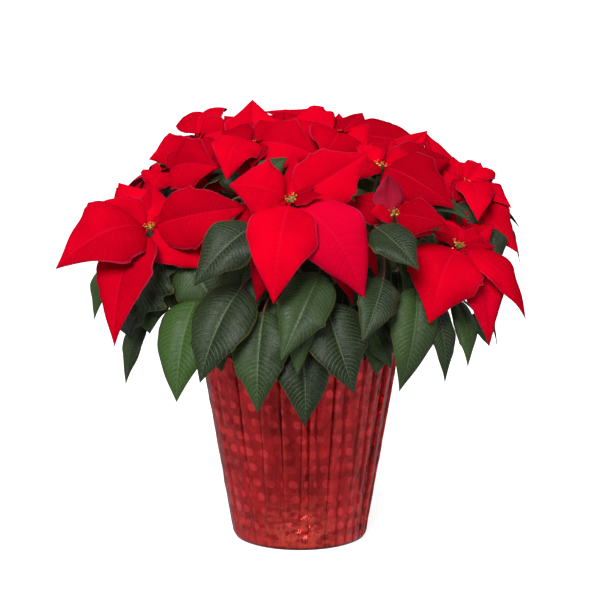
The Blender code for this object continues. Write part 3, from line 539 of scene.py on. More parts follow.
def new_piece(name, shells, finishes, replaced=None):
    """One mesh object from several shells, written as whole arrays, riding on the root body."""
    starts = np.cumsum([0] + [len(shell.points) for shell in shells])
    corners, sizes, flat, finish = [], [], [], []
    for shell, start in zip(shells, starts):
        corners += [shell.quads.reshape(-1) + start, shell.tris.reshape(-1) + start]
        sizes += [np.full(len(shell.quads), 4), np.full(len(shell.tris), 3)]
        flat += [shell.flat, np.zeros(len(shell.tris), bool)]
        finish.append(np.full(len(shell.quads) + len(shell.tris), shell.finish))
    corners, sizes, flat, finish = (np.concatenate(parts) for parts in (corners, sizes, flat, finish))
    points = np.concatenate([shell.points for shell in shells])
    mesh = bpy.data.meshes.new(name)
    mesh.vertices.add(len(points))
    mesh.vertices.foreach_set("co", points.astype(np.float32).reshape(-1))
    mesh.loops.add(len(corners))
    mesh.loops.foreach_set("vertex_index", corners.astype(np.int32))
    mesh.polygons.add(len(sizes))
    mesh.polygons.foreach_set("loop_start", (np.cumsum(sizes) - sizes).astype(np.int32))
    mesh.update(calc_edges=True)
    mesh.polygons.foreach_set("use_smooth", ~flat)
    mesh.polygons.foreach_set("material_index", finish.astype(np.int32))
    layer = mesh.uv_layers.new(name="grain")
    uv = np.concatenate([shell.uv for shell in shells])
    layer.data.foreach_set("uv", uv[corners].astype(np.float32).reshape(-1))
    for mark in ("tone", "under"):
        values = np.concatenate([getattr(shell, mark) for shell in shells])
        mesh.attributes.new(mark, "FLOAT", "POINT").data.foreach_set("value", values.astype(np.float32))
    mesh.validate()
    made = bpy.data.objects.new(name, mesh)
    bpy.context.scene.collection.objects.link(made)
    for material in finishes:
        mesh.materials.append(material)
    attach(made, "root")
    if replaced:
        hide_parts(replaced)
    return made


def head_frame(name):
    """The top of a head's hub and the way that the head faces, more outward the further out it stands."""
    top = np.array(HEADS[name][:3]) / 1000
    return top, unit((top[0] * HUB_TILT, top[1] * HUB_TILT, 1))


def cubic(start, first, last, end, count):
    """Points of the cubic curve between two ends, drawn to two points between them."""
    t = np.linspace(0, 1, count)[:, None]
    return start * (1 - t) ** 3 + first * 3 * t * (1 - t) ** 2 + last * 3 * t**2 * (1 - t) + end * t**3


def branch_path(name):
    """Points of the branch under a head: a cubic curve from its trunk to the head's foot, then a neck."""
    top, face = head_frame(name)
    end = top - face * (HUB_HEIGHT + SEAT_GAP + NECK)
    start = np.array((*TRUNKS[HEADS[name][3]], SOIL_HEIGHT + TRUNK_TOP / 2))
    reach = np.linalg.norm(end - start)
    first = start + (np.array((0, 0, 1)) + unit(end - start) * BRANCH_LEAN) * reach * BRANCH_RISE
    last = end - face * reach * BRANCH_ARRIVAL
    return np.concatenate([cubic(start, first, last, end, BRANCH_STEPS), [end + face * NECK]])


def branch_foot(name, share):
    """The point of a branch where a leaf's stalk stands."""
    place = share / NECK_SHARE * (BRANCH_STEPS - 1)
    path = branch_path(name)
    index = min(int(place), BRANCH_STEPS - 2)
    return path[index] + (path[index + 1] - path[index]) * min(place - index, 1)


def bract(name, tip, width, lift, turned):
    """A bract of this head, rooted in its hub, its face turned by a share to the front."""
    top, face = head_frame(name)
    out = tip - top
    out = unit(out - face * out.dot(face))
    root = top - face * ROOT_DEPTH + out * ROOT_OUT
    return Blade(root, tip, face + (FRONT - face) * turned, width, lift, STALK_SHARE, False)


def leaf(base, tip, width, turned, toothed=False):
    """A leaf's blade, which faces up and outwards, turned by a share to the front."""
    out = unit((tip[0], tip[1], 0))
    face = np.array((out[0], out[1], LEAF_FACE_RISE))
    return Blade(base, tip, face + (FRONT - face) * turned, width, LEAF_ARCH, 0.0, toothed)


def vein_phase(t, v):
    """Counts the side veins: they leave the midrib evenly and sweep to the tip with the square of v."""
    return VEINS * (t - SLANT * np.abs(v) - SWEEP * v**2)


def by_side(v, low, high, draw):
    """One value drawn for each side of the midrib."""
    return np.where(v < 0, draw.uniform(low, high), draw.uniform(low, high))


def past_stalk(blade, u):
    """The share of the blade's length past its stalk."""
    return np.clip((u - blade.stalk) / (1 - blade.stalk), 0, 1)


def half_width(blade, u, v, draw):
    """Half the blade's width: t to one power times (1 - t) to another, drawn out at the tip.

    t is the share of the length past the stalk. Each side has a low shoulder, a slow sine and small points.
    """
    t = past_stalk(blade, u)
    widest = RISE_POWER / (RISE_POWER + FALL_POWER)
    most = widest**RISE_POWER * (1 - widest) ** FALL_POWER
    half = blade.width / 2 * t**RISE_POWER * (1 - t) ** FALL_POWER / most * (1 - DRAWN_OUT * t**4)
    shoulder = by_side(v, *SHOULDER_PLACES, draw)
    half = half * (1 + SHOULDER * (np.exp(-np.abs(t - shoulder) / 0.10) - 0.35))
    phase = by_side(v, *ANY_ANGLE, draw)
    half = half * (1 + draw.uniform(0.01, 0.04) * np.sin(2 * np.pi * draw.uniform(2.0, 4.0) * t + phase))
    for _ in range(2):
        point = by_side(v, *POINT_PLACES, draw)
        proud = draw.choice(POINT_HEIGHTS)
        half = half * (1 + proud * np.clip(1 - np.abs(t - point) / POINT_SPAN, 0, 1))
    if blade.toothed:
        half = half * (1 + TOOTH_DEPTH * np.cos(2 * np.pi * TEETH * (t - TOOTH_SHIFT)))
    return np.hypot(half, STALK_HALF_WIDTH * (1 - u) ** 2 + TIP_HALF_WIDTH * u**2)


def blade_ways(blade):
    """The way along a blade from root to tip, the way that it faces square to that, and its length."""
    chord = blade.tip - blade.root
    length = np.linalg.norm(chord)
    chord = chord / length
    return chord, unit(blade.face - chord * blade.face.dot(chord)), length


def blade_grid(blade):
    """The grid of u, nought to one along a blade, and v, -1 to 1 across it, with closer rows at its ends."""
    _, _, length = blade_ways(blade)
    s = np.linspace(0, 1, int(np.clip(length / ROW_STEP, *ROWS)))
    across = np.linspace(-1, 1, 2 * int(np.clip(blade.width / 2 / COLUMN_STEP, *HALF_COLUMNS)) + 1)
    across = np.sign(across) * np.abs(across) ** 1.15
    return np.meshgrid(s - 0.05 * np.sin(2 * np.pi * s), across, indexing="ij")


def midrib(blade, u, bow, twist):
    """A blade's midrib, and the ways across the blade and out of its face at each of its points.

    The midrib is the parabola through root, bend and tip, bowed sideways by a half sine. The ways are twisted
    about it with the square of u.
    """
    chord, face, length = blade_ways(blade)
    side = np.cross(chord, face)
    bend = blade.root + chord * length * BEND_AT + face * blade.lift * length * 2
    middle = blade.root * (1 - u) ** 2 + bend * 2 * u * (1 - u) + blade.tip * u**2
    along = unit(2 * (1 - u) * (bend - blade.root) + 2 * u * (blade.tip - bend))
    middle = middle + side * length * bow * np.sin(np.pi * u)
    normal = np.cross(side, along)
    side = np.cross(along, normal)
    cosine, sine = np.cos(twist * u**2), np.sin(twist * u**2)
    return middle, side * cosine + normal * sine, normal * cosine - side * sine


def blade_relief(blade, u, v, draw):
    """How far a blade rises out of its face, as a share of half its width.

    It is a soft V that droops with the square of v. It puffs up between every second side vein, less so at
    the midrib, the edge and the ends. Each side waves in a sine along it, which grows with a power of v.
    """
    t = past_stalk(blade, u)
    fold = np.sqrt(v**2 + 0.0004) - 0.02
    puff = 1 - np.abs(2 * (vein_phase(t, v) / 2 % 1) - 1) ** 2.5
    inside = (1 - np.exp(-((v / 0.10) ** 2))) * (1 - np.abs(v) ** 5)
    ends = np.clip(t * 8, 0, 1) * np.clip((1 - t) * 8, 0, 1)
    turns = by_side(v, *WAVE_SPEED, draw)
    phase = by_side(v, *ANY_ANGLE, draw)
    wave = draw.uniform(*WAVE_HEIGHT) * np.abs(v) ** 2.5 * np.sin(2 * np.pi * turns * t + phase)
    return GROOVE * fold - DROOP * v**2 + PUFF * puff * inside * ends + wave * np.sin(np.pi * t)


def blade_shell(blade, draw, tone, bow=None):
    """A leaf or bract as a closed thin shell, with an upper and a lower face over the same grid.

    Its sheet reaches half the width times v across the midrib and rises by its relief. The shell gets thinner
    to the edge, and on its lower face the midrib stands proud.
    """
    u, v = blade_grid(blade)
    bow = draw.uniform(-BOW, BOW) if bow is None else bow
    middle, side, normal = midrib(blade, u[..., None], bow, draw.uniform(-TWIST, TWIST))
    half = half_width(blade, u, v, draw)
    rib = np.exp(-((half * v / RIB_HALF_WIDTH) ** 2)) * np.clip(1 - u, 0, 1) ** 0.8
    rise = half * blade_relief(blade, u, v, draw) - RIB_SUNK * rib
    sheet = middle + side * (half * v)[..., None] + normal * rise[..., None]
    body = EDGE_BODY + MIDDLE_BODY * (1 - v**4)
    upper = sheet + normal * body[..., None]
    lower = sheet - normal * (body + RIB_PROUD * rib)[..., None]
    uv = np.stack([past_stalk(blade, u), (v + 1) / 2], axis=-1)
    rings = np.concatenate([upper, lower[:, ::-1]], axis=1)
    marks = np.concatenate([uv, uv[:, ::-1]], axis=1)
    count = v.shape[1]
    under = np.repeat((0.0, 1.0), count)[None]
    return skin(rings, marks, tone, under, (count - 1, 2 * count - 1), slice(count, None))


def tube_shell(path, radii, sides=8, finish=0):
    """A round tube carried along a path: each ring stands square to it, turned by the least from the last."""
    path = np.asarray(path, float)
    along = unit(np.gradient(path, axis=0))
    side, _ = cross_ways(along[0])
    sides_on = []
    for direction in along:
        side = unit(side - direction * side.dot(direction))
        sides_on.append(side)
    side = np.array(sides_on)[:, None]
    other = np.cross(along[:, None], side)
    angle = np.linspace(0, 2 * np.pi, sides, endpoint=False)[None, :, None]
    radii = np.broadcast_to(radii, len(path))[:, None, None]
    rings = path[:, None] + (side * np.cos(angle) + other * np.sin(angle)) * radii
    return skin(rings, finish=finish)


def turned_shell(foot, axis, profile, sides, size=1.0, finish=0, squeeze=1.0):
    """A profile of (height, radius) times a size, turned about an axis from its foot, one way squeezed."""
    axis = unit(axis)
    side, other = cross_ways(axis)
    angle = np.linspace(0, 2 * np.pi, sides, endpoint=False)[None, :, None]
    height, radius = (np.array(column)[:, None, None] * size for column in zip(*profile))
    rings = foot + axis * height + (side * np.cos(angle) + other * np.sin(angle) * squeeze) * radius
    return skin(rings, finish=finish)


def petiole(foot, blade):
    """A leaf's stalk: a curve from the branch that runs into the blade's midrib, thinner to the blade."""
    chord, face, _ = blade_ways(blade)
    into = unit(chord * BEND_AT + face * blade.lift * 2)
    reach = np.linalg.norm(blade.root - foot)
    first = foot + (unit(blade.root - foot) + np.array((0, 0, 0.5))) * reach * 0.3
    path = cubic(foot, first, blade.root - into * reach * 0.35, blade.root + into * PETIOLE_INTO, 14)
    return tube_shell(path, np.linspace(*PETIOLE_RADII, len(path)), finish=1)


class Nodes:
    """A node tree being filled, with short ways to add its nodes."""

    def __init__(self, tree):
        self.tree = tree

    def add(self, kind, inputs=(), **settings):
        """A new node with these settings and these values or links at its inputs."""
        node = self.tree.nodes.new(kind)
        for key, value in settings.items():
            setattr(node, key, value)
        self.feed(node, inputs)
        return node

    def feed(self, node, inputs):
        """Gives a node's inputs a value or a link each."""
        for key, value in dict(inputs).items():
            if isinstance(value, bpy.types.NodeSocket):
                self.tree.links.new(value, node.inputs[key])
            else:
                node.inputs[key].default_value = value

    def math(self, operation, a, b=0.0):
        """One sum of two numbers."""
        return self.add("ShaderNodeMath", {0: a, 1: b}, operation=operation).outputs[0]

    def band(self, value, low, high, start=0.0, end=1.0, kind="SMOOTHSTEP"):
        """Passes from start at low to end at high."""
        inputs = {0: value, 1: low, 2: high, 3: start, 4: end}
        return self.add("ShaderNodeMapRange", inputs, interpolation_type=kind).outputs[0]


class Finish(Nodes):
    """A material being made."""

    def __init__(self, name):
        self.material = bpy.data.materials.new(name)
        self.material.use_nodes = True
        super().__init__(self.material.node_tree)
        self.shader = self.tree.nodes["Principled BSDF"]

    def mixed(self, share, a, b):
        """A colour between two, by a share."""
        return self.add("ShaderNodeMix", {0: share, 6: a, 7: b}, data_type="RGBA").outputs[2]

    def mark(self, name):
        """The value of one of the piece's own marks."""
        return self.add("ShaderNodeAttribute", attribute_name=name).outputs["Fac"]

    def place(self):
        """The place on the object."""
        return self.add("ShaderNodeTexCoord").outputs["Object"]

    def noise(self, scale, detail=2.0, vector=None):
        """Cloudy noise, nought to one."""
        inputs = {"Vector": vector or self.place(), "Scale": scale, "Detail": detail}
        return self.add("ShaderNodeTexNoise", inputs).outputs[0]

    def cells(self, scale, vector=None, **settings):
        """The outputs of a texture of cells round scattered points."""
        inputs = {"Vector": vector or self.place(), "Scale": scale}
        return self.add("ShaderNodeTexVoronoi", inputs, **settings).outputs

    def vector(self, operation, a, b=(0.0, 0.0, 0.0)):
        """One sum of two vectors: the vector and the number that it makes."""
        return self.add("ShaderNodeVectorMath", {0: a, 1: b}, operation=operation).outputs

    def bump(self, height, distance, strength=1.0):
        """Raises the surface by a height times a distance."""
        made = self.add("ShaderNodeBump", {"Height": height, "Distance": distance, "Strength": strength})
        self.feed(self.shader, {"Normal": made.outputs[0]})

    def across(self):
        """The place along a blade, how far off the midrib it lies, nought to one, and that with its sign."""
        uv = self.add("ShaderNodeUVMap", uv_map="grain").outputs[0]
        parts = self.add("ShaderNodeSeparateXYZ", {0: uv})
        offset = self.math("MULTIPLY_ADD", parts.outputs[1], 2.0)
        offset.node.inputs[2].default_value = -1.0
        return parts.outputs[0], self.math("ABSOLUTE", offset), offset

    def vein_lines(self, width):
        """How near a place is to a side vein, nought to one, by the count that shapes the blade."""
        t, v, _ = self.across()
        swept = self.math("MULTIPLY", self.math("MULTIPLY", v, v), SWEEP)
        phase = self.math("SUBTRACT", self.math("SUBTRACT", t, self.math("MULTIPLY", v, SLANT)), swept)
        share = self.math("FRACT", self.math("MULTIPLY", phase, VEINS))
        off = self.math("ABSOLUTE", self.math("SUBTRACT", share, 0.5))
        return self.band(off, 0.5 - width, 0.5)


def rgba(color, share=1.0):
    """A colour with full cover, its brightness times a share."""
    return (*(part * share for part in tuple(color)[:3]), 1.0)


class Palette(NamedTuple):
    """A blade's colours: lit and shaded, for painted light and shade, of its veins, of its underside, and of
    a fresh one.
    """

    lit: tuple
    shaded: tuple
    vein: tuple
    below: tuple
    fresh: tuple


def blade_finish(name, settings, palette, roughness, specular, veined):
    """A blade's finish: painted light and shade in clouds, by its own tone and on one half, veins, a net of
    small veins, a painted edge highlight, a duller underside.
    """
    lit, shaded, vein, below, fresh = (rgba(color) for color in palette)
    made = Finish(name)
    _, v, side = made.across()
    cloud = made.noise(26.0, 3.0)
    tone = made.mark("tone")
    # Painted light and shade: clouds and the blade's own tone pick between the lit colour and its darker
    # shaded copy
    share = made.math("ADD", made.math("MULTIPLY", cloud, 0.6), made.math("MULTIPLY", tone, 0.55))
    # Painted shade: the half of the blade on one side of the midrib is a little darker
    share = made.math("ADD", share, made.band(side, -0.04, 0.04, 0.13, 0.0))
    color = made.mixed(made.band(share, 0.20, 0.90), lit, shaded)
    color = made.mixed(made.band(tone, 1.0, 1.5, 0.0, 0.8), color, below)
    color = made.mixed(made.band(tone, -0.6, -0.1, 0.8, 0.0), color, fresh)
    sides = made.vein_lines(0.13)
    midrib = made.band(v, 0.0, 0.04, settings.midrib_strength, 0.0)
    # Painted highlight: a lighter copy of the underside's colour along the edge
    rim = made.band(v, 0.93, 1.0, 0.0, 0.75)
    cells = made.cells(420.0, feature="DISTANCE_TO_EDGE")
    net = made.band(cells["Distance"], 0.0, 0.12, 1.0, 0.0)
    shown = made.band(made.noise(55.0), 0.3, 0.6, 0.1, settings.vein_strength * veined)
    lines = made.math("MAXIMUM", made.math("MULTIPLY", sides, shown), midrib)
    lines = made.math("MAXIMUM", lines, made.math("MULTIPLY", net, settings.net_strength))
    color = made.mixed(lines, color, vein)
    color = made.mixed(rim, color, rgba(below, 1.5))
    color = made.mixed(made.mark("under"), color, below)
    rough = made.band(made.noise(90.0), 0.2, 0.8, roughness - 0.06, roughness + 0.06)
    made.feed(made.shader, {"Base Color": color, "Roughness": rough, "Specular IOR Level": specular})
    relief = made.math("ADD", made.math("MULTIPLY", sides, -0.6), made.math("MULTIPLY", net, -0.25))
    relief = made.math("ADD", relief, made.math("MULTIPLY", made.noise(700.0), 0.25))
    made.bump(relief, 0.0004, 0.8)
    return made.material


def stalk_finish(name, color, tip_color):
    """A stalk: one colour passing to another along it, with fine streaks."""
    made = Finish(name)
    t, *_ = made.across()
    streaks = made.noise(300.0)
    shade = made.mixed(made.math("MULTIPLY", streaks, 0.5), rgba(color), rgba(color, 0.5))
    made.feed(made.shader, {"Base Color": made.mixed(t, shade, rgba(tip_color)), "Roughness": 0.45})
    made.bump(streaks, 0.0002, 0.5)
    return made.material


def cup_finish(name, color, second):
    """Small flower parts: two colours in fine clouds, with a soft grain."""
    made = Finish(name)
    cloud = made.noise(900.0)
    made.feed(made.shader, {"Base Color": made.mixed(cloud, rgba(color), rgba(second)), "Roughness": 0.4})
    made.bump(cloud, 0.0002, 0.6)
    return made.material


def pleats(settings):
    """The pleats round the cover: each one's start and width as angles, its depth share and its lean."""
    draw = random.Random(PLEAT_SEED)
    widths = np.array([draw.uniform(0.55, 1.45) for _ in range(settings.pleats)])
    widths = widths / widths.sum() * 2 * np.pi
    starts = np.cumsum(widths) - widths
    depths = np.array([draw.uniform(0.35, 1.3) for _ in widths])
    leans = np.array([draw.gauss(0, 0.045) for _ in widths])
    fades = np.array([draw.uniform(0.3, 1.2) for _ in widths])
    return starts, widths, depths, leans, fades


def creases(a, b, draw, count, shortest, longest):
    """Crumpled foil: a sum of sharp ridges, each one less the size of a sine along its own direction."""
    total = np.zeros(np.broadcast(a, b).shape)
    for _ in range(count):
        angle = draw.uniform(0, np.pi)
        wave = draw.uniform(shortest, longest)
        phase = draw.uniform(*ANY_ANGLE)
        bent = 0.35 * np.sin((a * np.sin(angle) - b * np.cos(angle)) * 2 * np.pi / wave / 1.7 + phase)
        along = (a * np.cos(angle) + b * np.sin(angle)) * np.pi / wave + bent + phase
        total = total + 1 - 2 * np.abs(np.sin(along))
    return total / count


def cover_rings(settings):
    """The outside of the foil cover as rings of points, with the flat foil's own measure at each point.

    Each pleat is a steep face and then a long panel that slopes back, its depth growing with the height. The
    foil is crumpled by sharp ridges, most of all near the foot at the front. It also gives a mark of painted
    shade in the pleats' valleys and one of painted highlight on their ridges and the crumpled patch.
    """
    starts, widths, depths, leans, fades = pleats(settings)
    local = np.array(PLEAT_STEPS)
    angle = (starts[:, None] + widths[:, None] * local).reshape(-1)[None]
    share = np.tile(local, settings.pleats)[None]
    columns = (depths, leans, np.roll(leans, -1), fades, starts)
    depth, lean, following, fade, start = (np.repeat(column, len(local))[None] for column in columns)
    close = np.linspace(PLEAT_START, CLOSE_ROWS_END, CLOSE_ROWS)
    level = np.concatenate([close[:-1], np.linspace(CLOSE_ROWS_END, 1, WIDE_ROWS)])[:, None]
    sway = np.sin(level * 2.2)
    theta = angle + (lean * (1 - share) + following * share) * sway
    panel = np.where(share < PLEAT_FACE, share / PLEAT_FACE, 1 - (share - PLEAT_FACE) / (1 - PLEAT_FACE))
    drawn = settings.pleat_depth * depth * (0.2 + 0.8 * level**fade)
    plain = COVER_BASE_RADIUS + (COVER_TOP_RADIUS - COVER_BASE_RADIUS) * level
    radius = plain + drawn * (panel - 0.5)
    height = level * COVER_HEIGHT
    draw = random.Random(PLEAT_SEED)
    arc = theta * 0.075
    turned_away = np.abs((theta + np.pi / 2 + np.pi) % (2 * np.pi) - np.pi)
    above = (height - PATCH_HEIGHT) / PATCH_REACH
    patch = np.exp(-((turned_away / PATCH_ROUND) ** 2)) * np.exp(-(above**2))
    rough = creases(arc, height * 0.5, draw, 6, 0.009, 0.022) * settings.crumple
    crumpled = creases(arc, height, draw, 4, 0.008, 0.018) * settings.crumple * 4.0
    radius = radius + (rough + crumpled * patch) * np.clip(level * 12, 0, 1)
    rings = np.stack([radius * np.cos(theta), radius * np.sin(theta), height + 0 * theta], axis=-1)
    measure = start * COVER_TOP_RADIUS + (theta - start - lean * sway) * plain + height * DOT_ROW_LEAN
    foil = np.stack([measure, height * WALL_SLANT + 0 * theta], axis=-1)
    # Painted shade in each pleat's valley, stronger where the pleat is deep and higher up
    valley_shade = np.exp(-share / 0.03) + np.exp(-(1 - share) / 0.03)
    valley_shade = np.clip(valley_shade, 0, 1) * np.clip(depth * (0.3 + level), 0, 1)
    # Painted highlight along each pleat's ridge and over the crumpled patch
    ridge_highlight = np.exp(-np.abs(share - 0.16) / 0.05) * np.clip(depth - 0.5, 0, 1) * 0.8
    ridge_highlight = np.maximum(ridge_highlight, patch * 1.2)
    return rings, foil, valley_shade, ridge_highlight


def build_cover_shell(settings):
    """The whole cover: its floor's edge, the pleated outside, the plain inside and the inner floor's edge."""
    outer, foil, valley_shade, ridge_highlight = cover_rings(settings)
    angle = np.arctan2(outer[..., 1], outer[..., 0])
    flat = np.stack([np.cos(angle[0]), np.sin(angle[0])], axis=-1)

    def ring(radius, height, shape=flat):
        return np.concatenate([shape * radius, np.full((len(shape), 1), height)], axis=-1)[None]

    foot = [ring(COVER_BASE_RADIUS - COVER_FOOT_ROUND, 0.0)]
    foot.append(ring(COVER_BASE_RADIUS - COVER_FOOT_EDGE, COVER_FOOT_EDGE))
    top = np.stack([np.cos(angle[-1]), np.sin(angle[-1])], axis=-1)
    inner = []
    for height in np.linspace(COVER_HEIGHT, COVER_INSIDE_FOOT, 12):
        level = height / COVER_HEIGHT
        radius = COVER_BASE_RADIUS + (COVER_TOP_RADIUS - COVER_BASE_RADIUS) * level - COVER_INSIDE
        inner.append(ring(radius, height, top))
    inner.append(ring(COVER_BASE_RADIUS - COVER_FOOT_ROUND - COVER_WALL, COVER_FLOOR))
    rings = np.concatenate(foot + [outer] + inner)
    marks = np.concatenate([foil[:1]] * len(foot) + [foil] + [foil[-1:]] * len(inner))
    # Painted shade on the foot's rounded edge and in the valleys, and painted highlight on the ridges and the
    # crumpled patch; none inside
    plain = np.ones_like(valley_shade[:1])
    fold_shade = np.concatenate([plain] * len(foot) + [valley_shade] + [plain * 0] * len(inner))
    bright = np.concatenate([plain * 0] * len(foot) + [ridge_highlight] + [plain * 0] * len(inner))
    return skin(rings, marks, bright, fold_shade)


def foil_finish(settings):
    """Red metallic foil with rows of round dots, painted shade in its folds and on its foot, painted
    highlights in shards on its ridges, dulled in clouds and finely crumpled.
    """
    made = Finish("foil")
    uv = made.add("ShaderNodeUVMap", uv_map="grain").outputs[0]
    cell = made.vector("MULTIPLY", uv, (1 / settings.dot_pitch,) * 3)["Vector"]
    cell = made.vector("FRACTION", cell)["Vector"]
    near = made.vector("DISTANCE", cell, (0.5, 0.5, 0.0))["Value"]
    edge = settings.dot_size / settings.dot_pitch / 2
    dots = made.band(near, edge - 0.07, edge + 0.05, 1.0, 0.0)
    cloud = made.noise(45.0, 3.0)
    dots = made.math("MULTIPLY", dots, made.band(made.noise(28.0), 0.35, 0.6, 0.35, 1.0))
    ground, spot = settings.foil_color, settings.dot_color
    ground = made.mixed(made.band(cloud, 0.3, 0.7), rgba(ground), rgba(ground, 0.6))
    spot = made.mixed(made.band(cloud, 0.3, 0.75), rgba(spot), rgba(spot, 0.7))
    color = made.mixed(dots, ground, spot)
    # Painted highlight: a pale salmon colour in broken shards, as far as the mark of ridges and the crumpled
    # patch goes
    shard = made.cells(1.0, made.vector("MULTIPLY", made.place(), SHARDS)["Vector"])["Color"]
    bright = made.math("MULTIPLY", made.mark("tone"), made.band(shard, 0.30, 0.70, 0.2, 1.0))
    color = made.mixed(bright, color, (1.0, 0.095, 0.070, 1.0))
    # Painted shade: near black in the pleats' valleys and on the foot's rounded edge
    fold_shade = made.math("MULTIPLY", made.mark("under"), 0.85)
    color = made.mixed(fold_shade, color, (0.04, 0.001, 0.002, 1.0))
    rough = made.band(made.noise(160.0), 0.3, 0.7, 0.18, 0.36)
    made.feed(made.shader, {"Base Color": color, "Roughness": rough, "Metallic": 0.9})
    made.feed(made.shader, {"Coat Weight": 0.2, "Coat Roughness": 0.2})
    squeezed = made.vector("MULTIPLY", made.place(), (1.0, 1.0, 0.30))["Vector"]
    fine = made.noise(330.0, 3.0, squeezed)
    folds = made.math("MULTIPLY", made.cells(150.0, squeezed)["Distance"], 0.8)
    facets = made.math("MULTIPLY", made.cells(90.0)["Distance"], 0.8)
    relief = made.math("ADD", folds, facets)
    made.bump(made.math("ADD", made.math("MULTIPLY", fine, 0.3), relief), 0.0018, 0.8)
    return made.material


def plastic_finish():
    """Black moulded plastic with a faint grain and dusty clouds."""
    made = Finish("pot_plastic")
    cloud = made.noise(60.0, 3.0)
    color = made.mixed(cloud, (0.012, 0.012, 0.013, 1.0), (0.035, 0.033, 0.030, 1.0))
    made.feed(made.shader, {"Base Color": color, "Roughness": made.band(cloud, 0.2, 0.8, 0.4, 0.6)})
    made.bump(made.noise(900.0), 0.0001, 0.5)
    return made.material


def earth_finish():
    """Peat in dark brown crumbs with pale specks of perlite."""
    made = Finish("potting_mix")
    crumbs = made.noise(260.0, 6.0)
    color = made.mixed(made.band(crumbs, 0.3, 0.7), (0.012, 0.007, 0.004, 1.0), (0.07, 0.042, 0.025, 1.0))
    specks = made.band(made.cells(190.0)["Distance"], 0.18, 0.26, 1.0, 0.0)
    pale = made.math("MULTIPLY", specks, made.band(crumbs, 0.5, 0.56))
    color = made.mixed(pale, color, (0.55, 0.52, 0.46, 1.0))
    made.feed(made.shader, {"Base Color": color, "Roughness": 0.9})
    made.bump(made.math("ADD", crumbs, pale), 0.002, 0.8)
    return made.material


# Bracts with a bow of their own, as a share of their length, and a tone of their own, by head and place. The
# tone picks the painted light and shade between the lit and shaded colours, and past these the underside's or
# a fresh colour
MARKED_BRACTS = {
    ("h01", 0): (0.0, 0.0),
    ("h01", 1): (-0.05, -0.5),
    ("h01", 2): (0.0, 0.1),
    ("h01", 3): (0.0, 0.1),
    ("h02", 0): (-0.02, 0.4),
    ("h02", 1): (0.0, 0.35),
    ("h03", 2): (0.06, 1.4),
    ("h05", 0): (0.06, 0.2),
    ("h05", 1): (0.01, 0.4),
    ("h05", 2): (-0.02, -0.3),
    ("h07", 0): (-0.17, 0.5),
    ("h08", 0): (0.12, 0.0),
    ("h10", 2): (0.10, 0.6),
    ("h10", 3): (0.10, 0.4),
    ("h10", 9): (-0.12, 0.4),
}

# The same for leaves, by place: this one is fresh, with a tone below nought
MARKED_LEAVES = {2: (0.0, -0.45)}

# Heads at the back, which bear a second ring of bracts and a full collar of leaves
BACK_HEADS = ("h11", "h12", "h13", "h14")

# Cups: how many stand on each of the larger heads; the others bear fewer
CUP_COUNTS = {"h01": 7, "h02": 6, "h03": 5, "h04": 5, "h05": 7}
FEWEST_CUPS = 4
LARGE_CUP = 0.0040
SMALL_CUP = 0.0024
STAMENS = 5

# A cup's body, its gland and the knob of a stamen, as rows of height and radius in shares of the cup's size
CUP_BODY = ((0.0, 0.20), (0.12, 0.30), (0.35, 0.38), (0.60, 0.40), (0.82, 0.33), (0.95, 0.22), (1.0, 0.10))
GLAND = ((-0.12, 0.10), (-0.06, 0.30), (0.06, 0.34), (0.10, 0.26), (0.04, 0.12))
KNOB = ((-0.08, 0.04), (-0.04, 0.11), (0.04, 0.11), (0.08, 0.04))

# The cushion under the cups, and how far its foot lies below the hub's top
CUSHION = ((0.0003, HUB_RADIUS * 0.6), (0.0009, HUB_RADIUS * 0.7), (0.0016, HUB_RADIUS * 0.4))
CUSHION_DEPTH = 0.0036

# The hub's radii from its foot to its top, as shares of its own
HUB_SHAPE = np.array((0.52, 0.6, 0.7, 0.75, 0.75, 0.6))

# A full ring of young bracts or of collar leaves: how many it has and the degrees between them
RING_COUNT = 7
RING_STEP = 51

# The share of a branch at which its collar of leaves stands
COLLAR_SHARE = 0.78


def cup_shells(foot, axis, size, draw):
    """One cup: an egg of a body with a narrow mouth, a lipped gland at its side and stamens above it."""
    axis = unit(axis)
    side, other = cross_ways(axis)
    shells = [turned_shell(foot, axis, CUP_BODY, 14, size)]
    out = spoke(side, other, draw.uniform(*ANY_ANGLE))
    lip = foot + axis * size * 0.80 + out * size * 0.42
    shells.append(turned_shell(lip, out + axis * 0.5, GLAND, 12, size, finish=1, squeeze=0.6))
    start = foot + axis * size * 0.9
    for _ in range(STAMENS):
        lean = spoke(side, other, draw.uniform(*ANY_ANGLE)) * draw.uniform(0.2, 0.9)
        end = start + (axis + lean) * size * draw.uniform(0.35, 0.7)
        shells.append(tube_shell(np.linspace(start, end, 3), size * 0.045, 5, finish=2))
        shells.append(turned_shell(end, axis, KNOB, 6, size, finish=draw.choice((1, 2))))
    return shells


def cluster_shells(name):
    """A head's cups: one at the middle and a ring of them leaning out, on a low cushion."""
    draw = random.Random(name)
    top, face = head_frame(name)
    side, other = cross_ways(face)
    count = CUP_COUNTS.get(name, FEWEST_CUPS)
    size = LARGE_CUP if name in CUP_COUNTS else SMALL_CUP
    top = top - face * CUSHION_DEPTH
    shells = [turned_shell(top, face, CUSHION, 16)]
    for i in range(count):
        out = spoke(side, other, 2 * math.pi * i / (count - 1) + draw.uniform(-0.2, 0.2))
        spread = 0.0 if i == count - 1 else 1.0
        foot = top + out * size * 0.72 * spread + face * 0.0010
        axis = face + out * draw.uniform(0.3, 0.6) * spread
        shells += cup_shells(foot, axis, size * draw.uniform(0.8, 1.05), draw)
    return shells


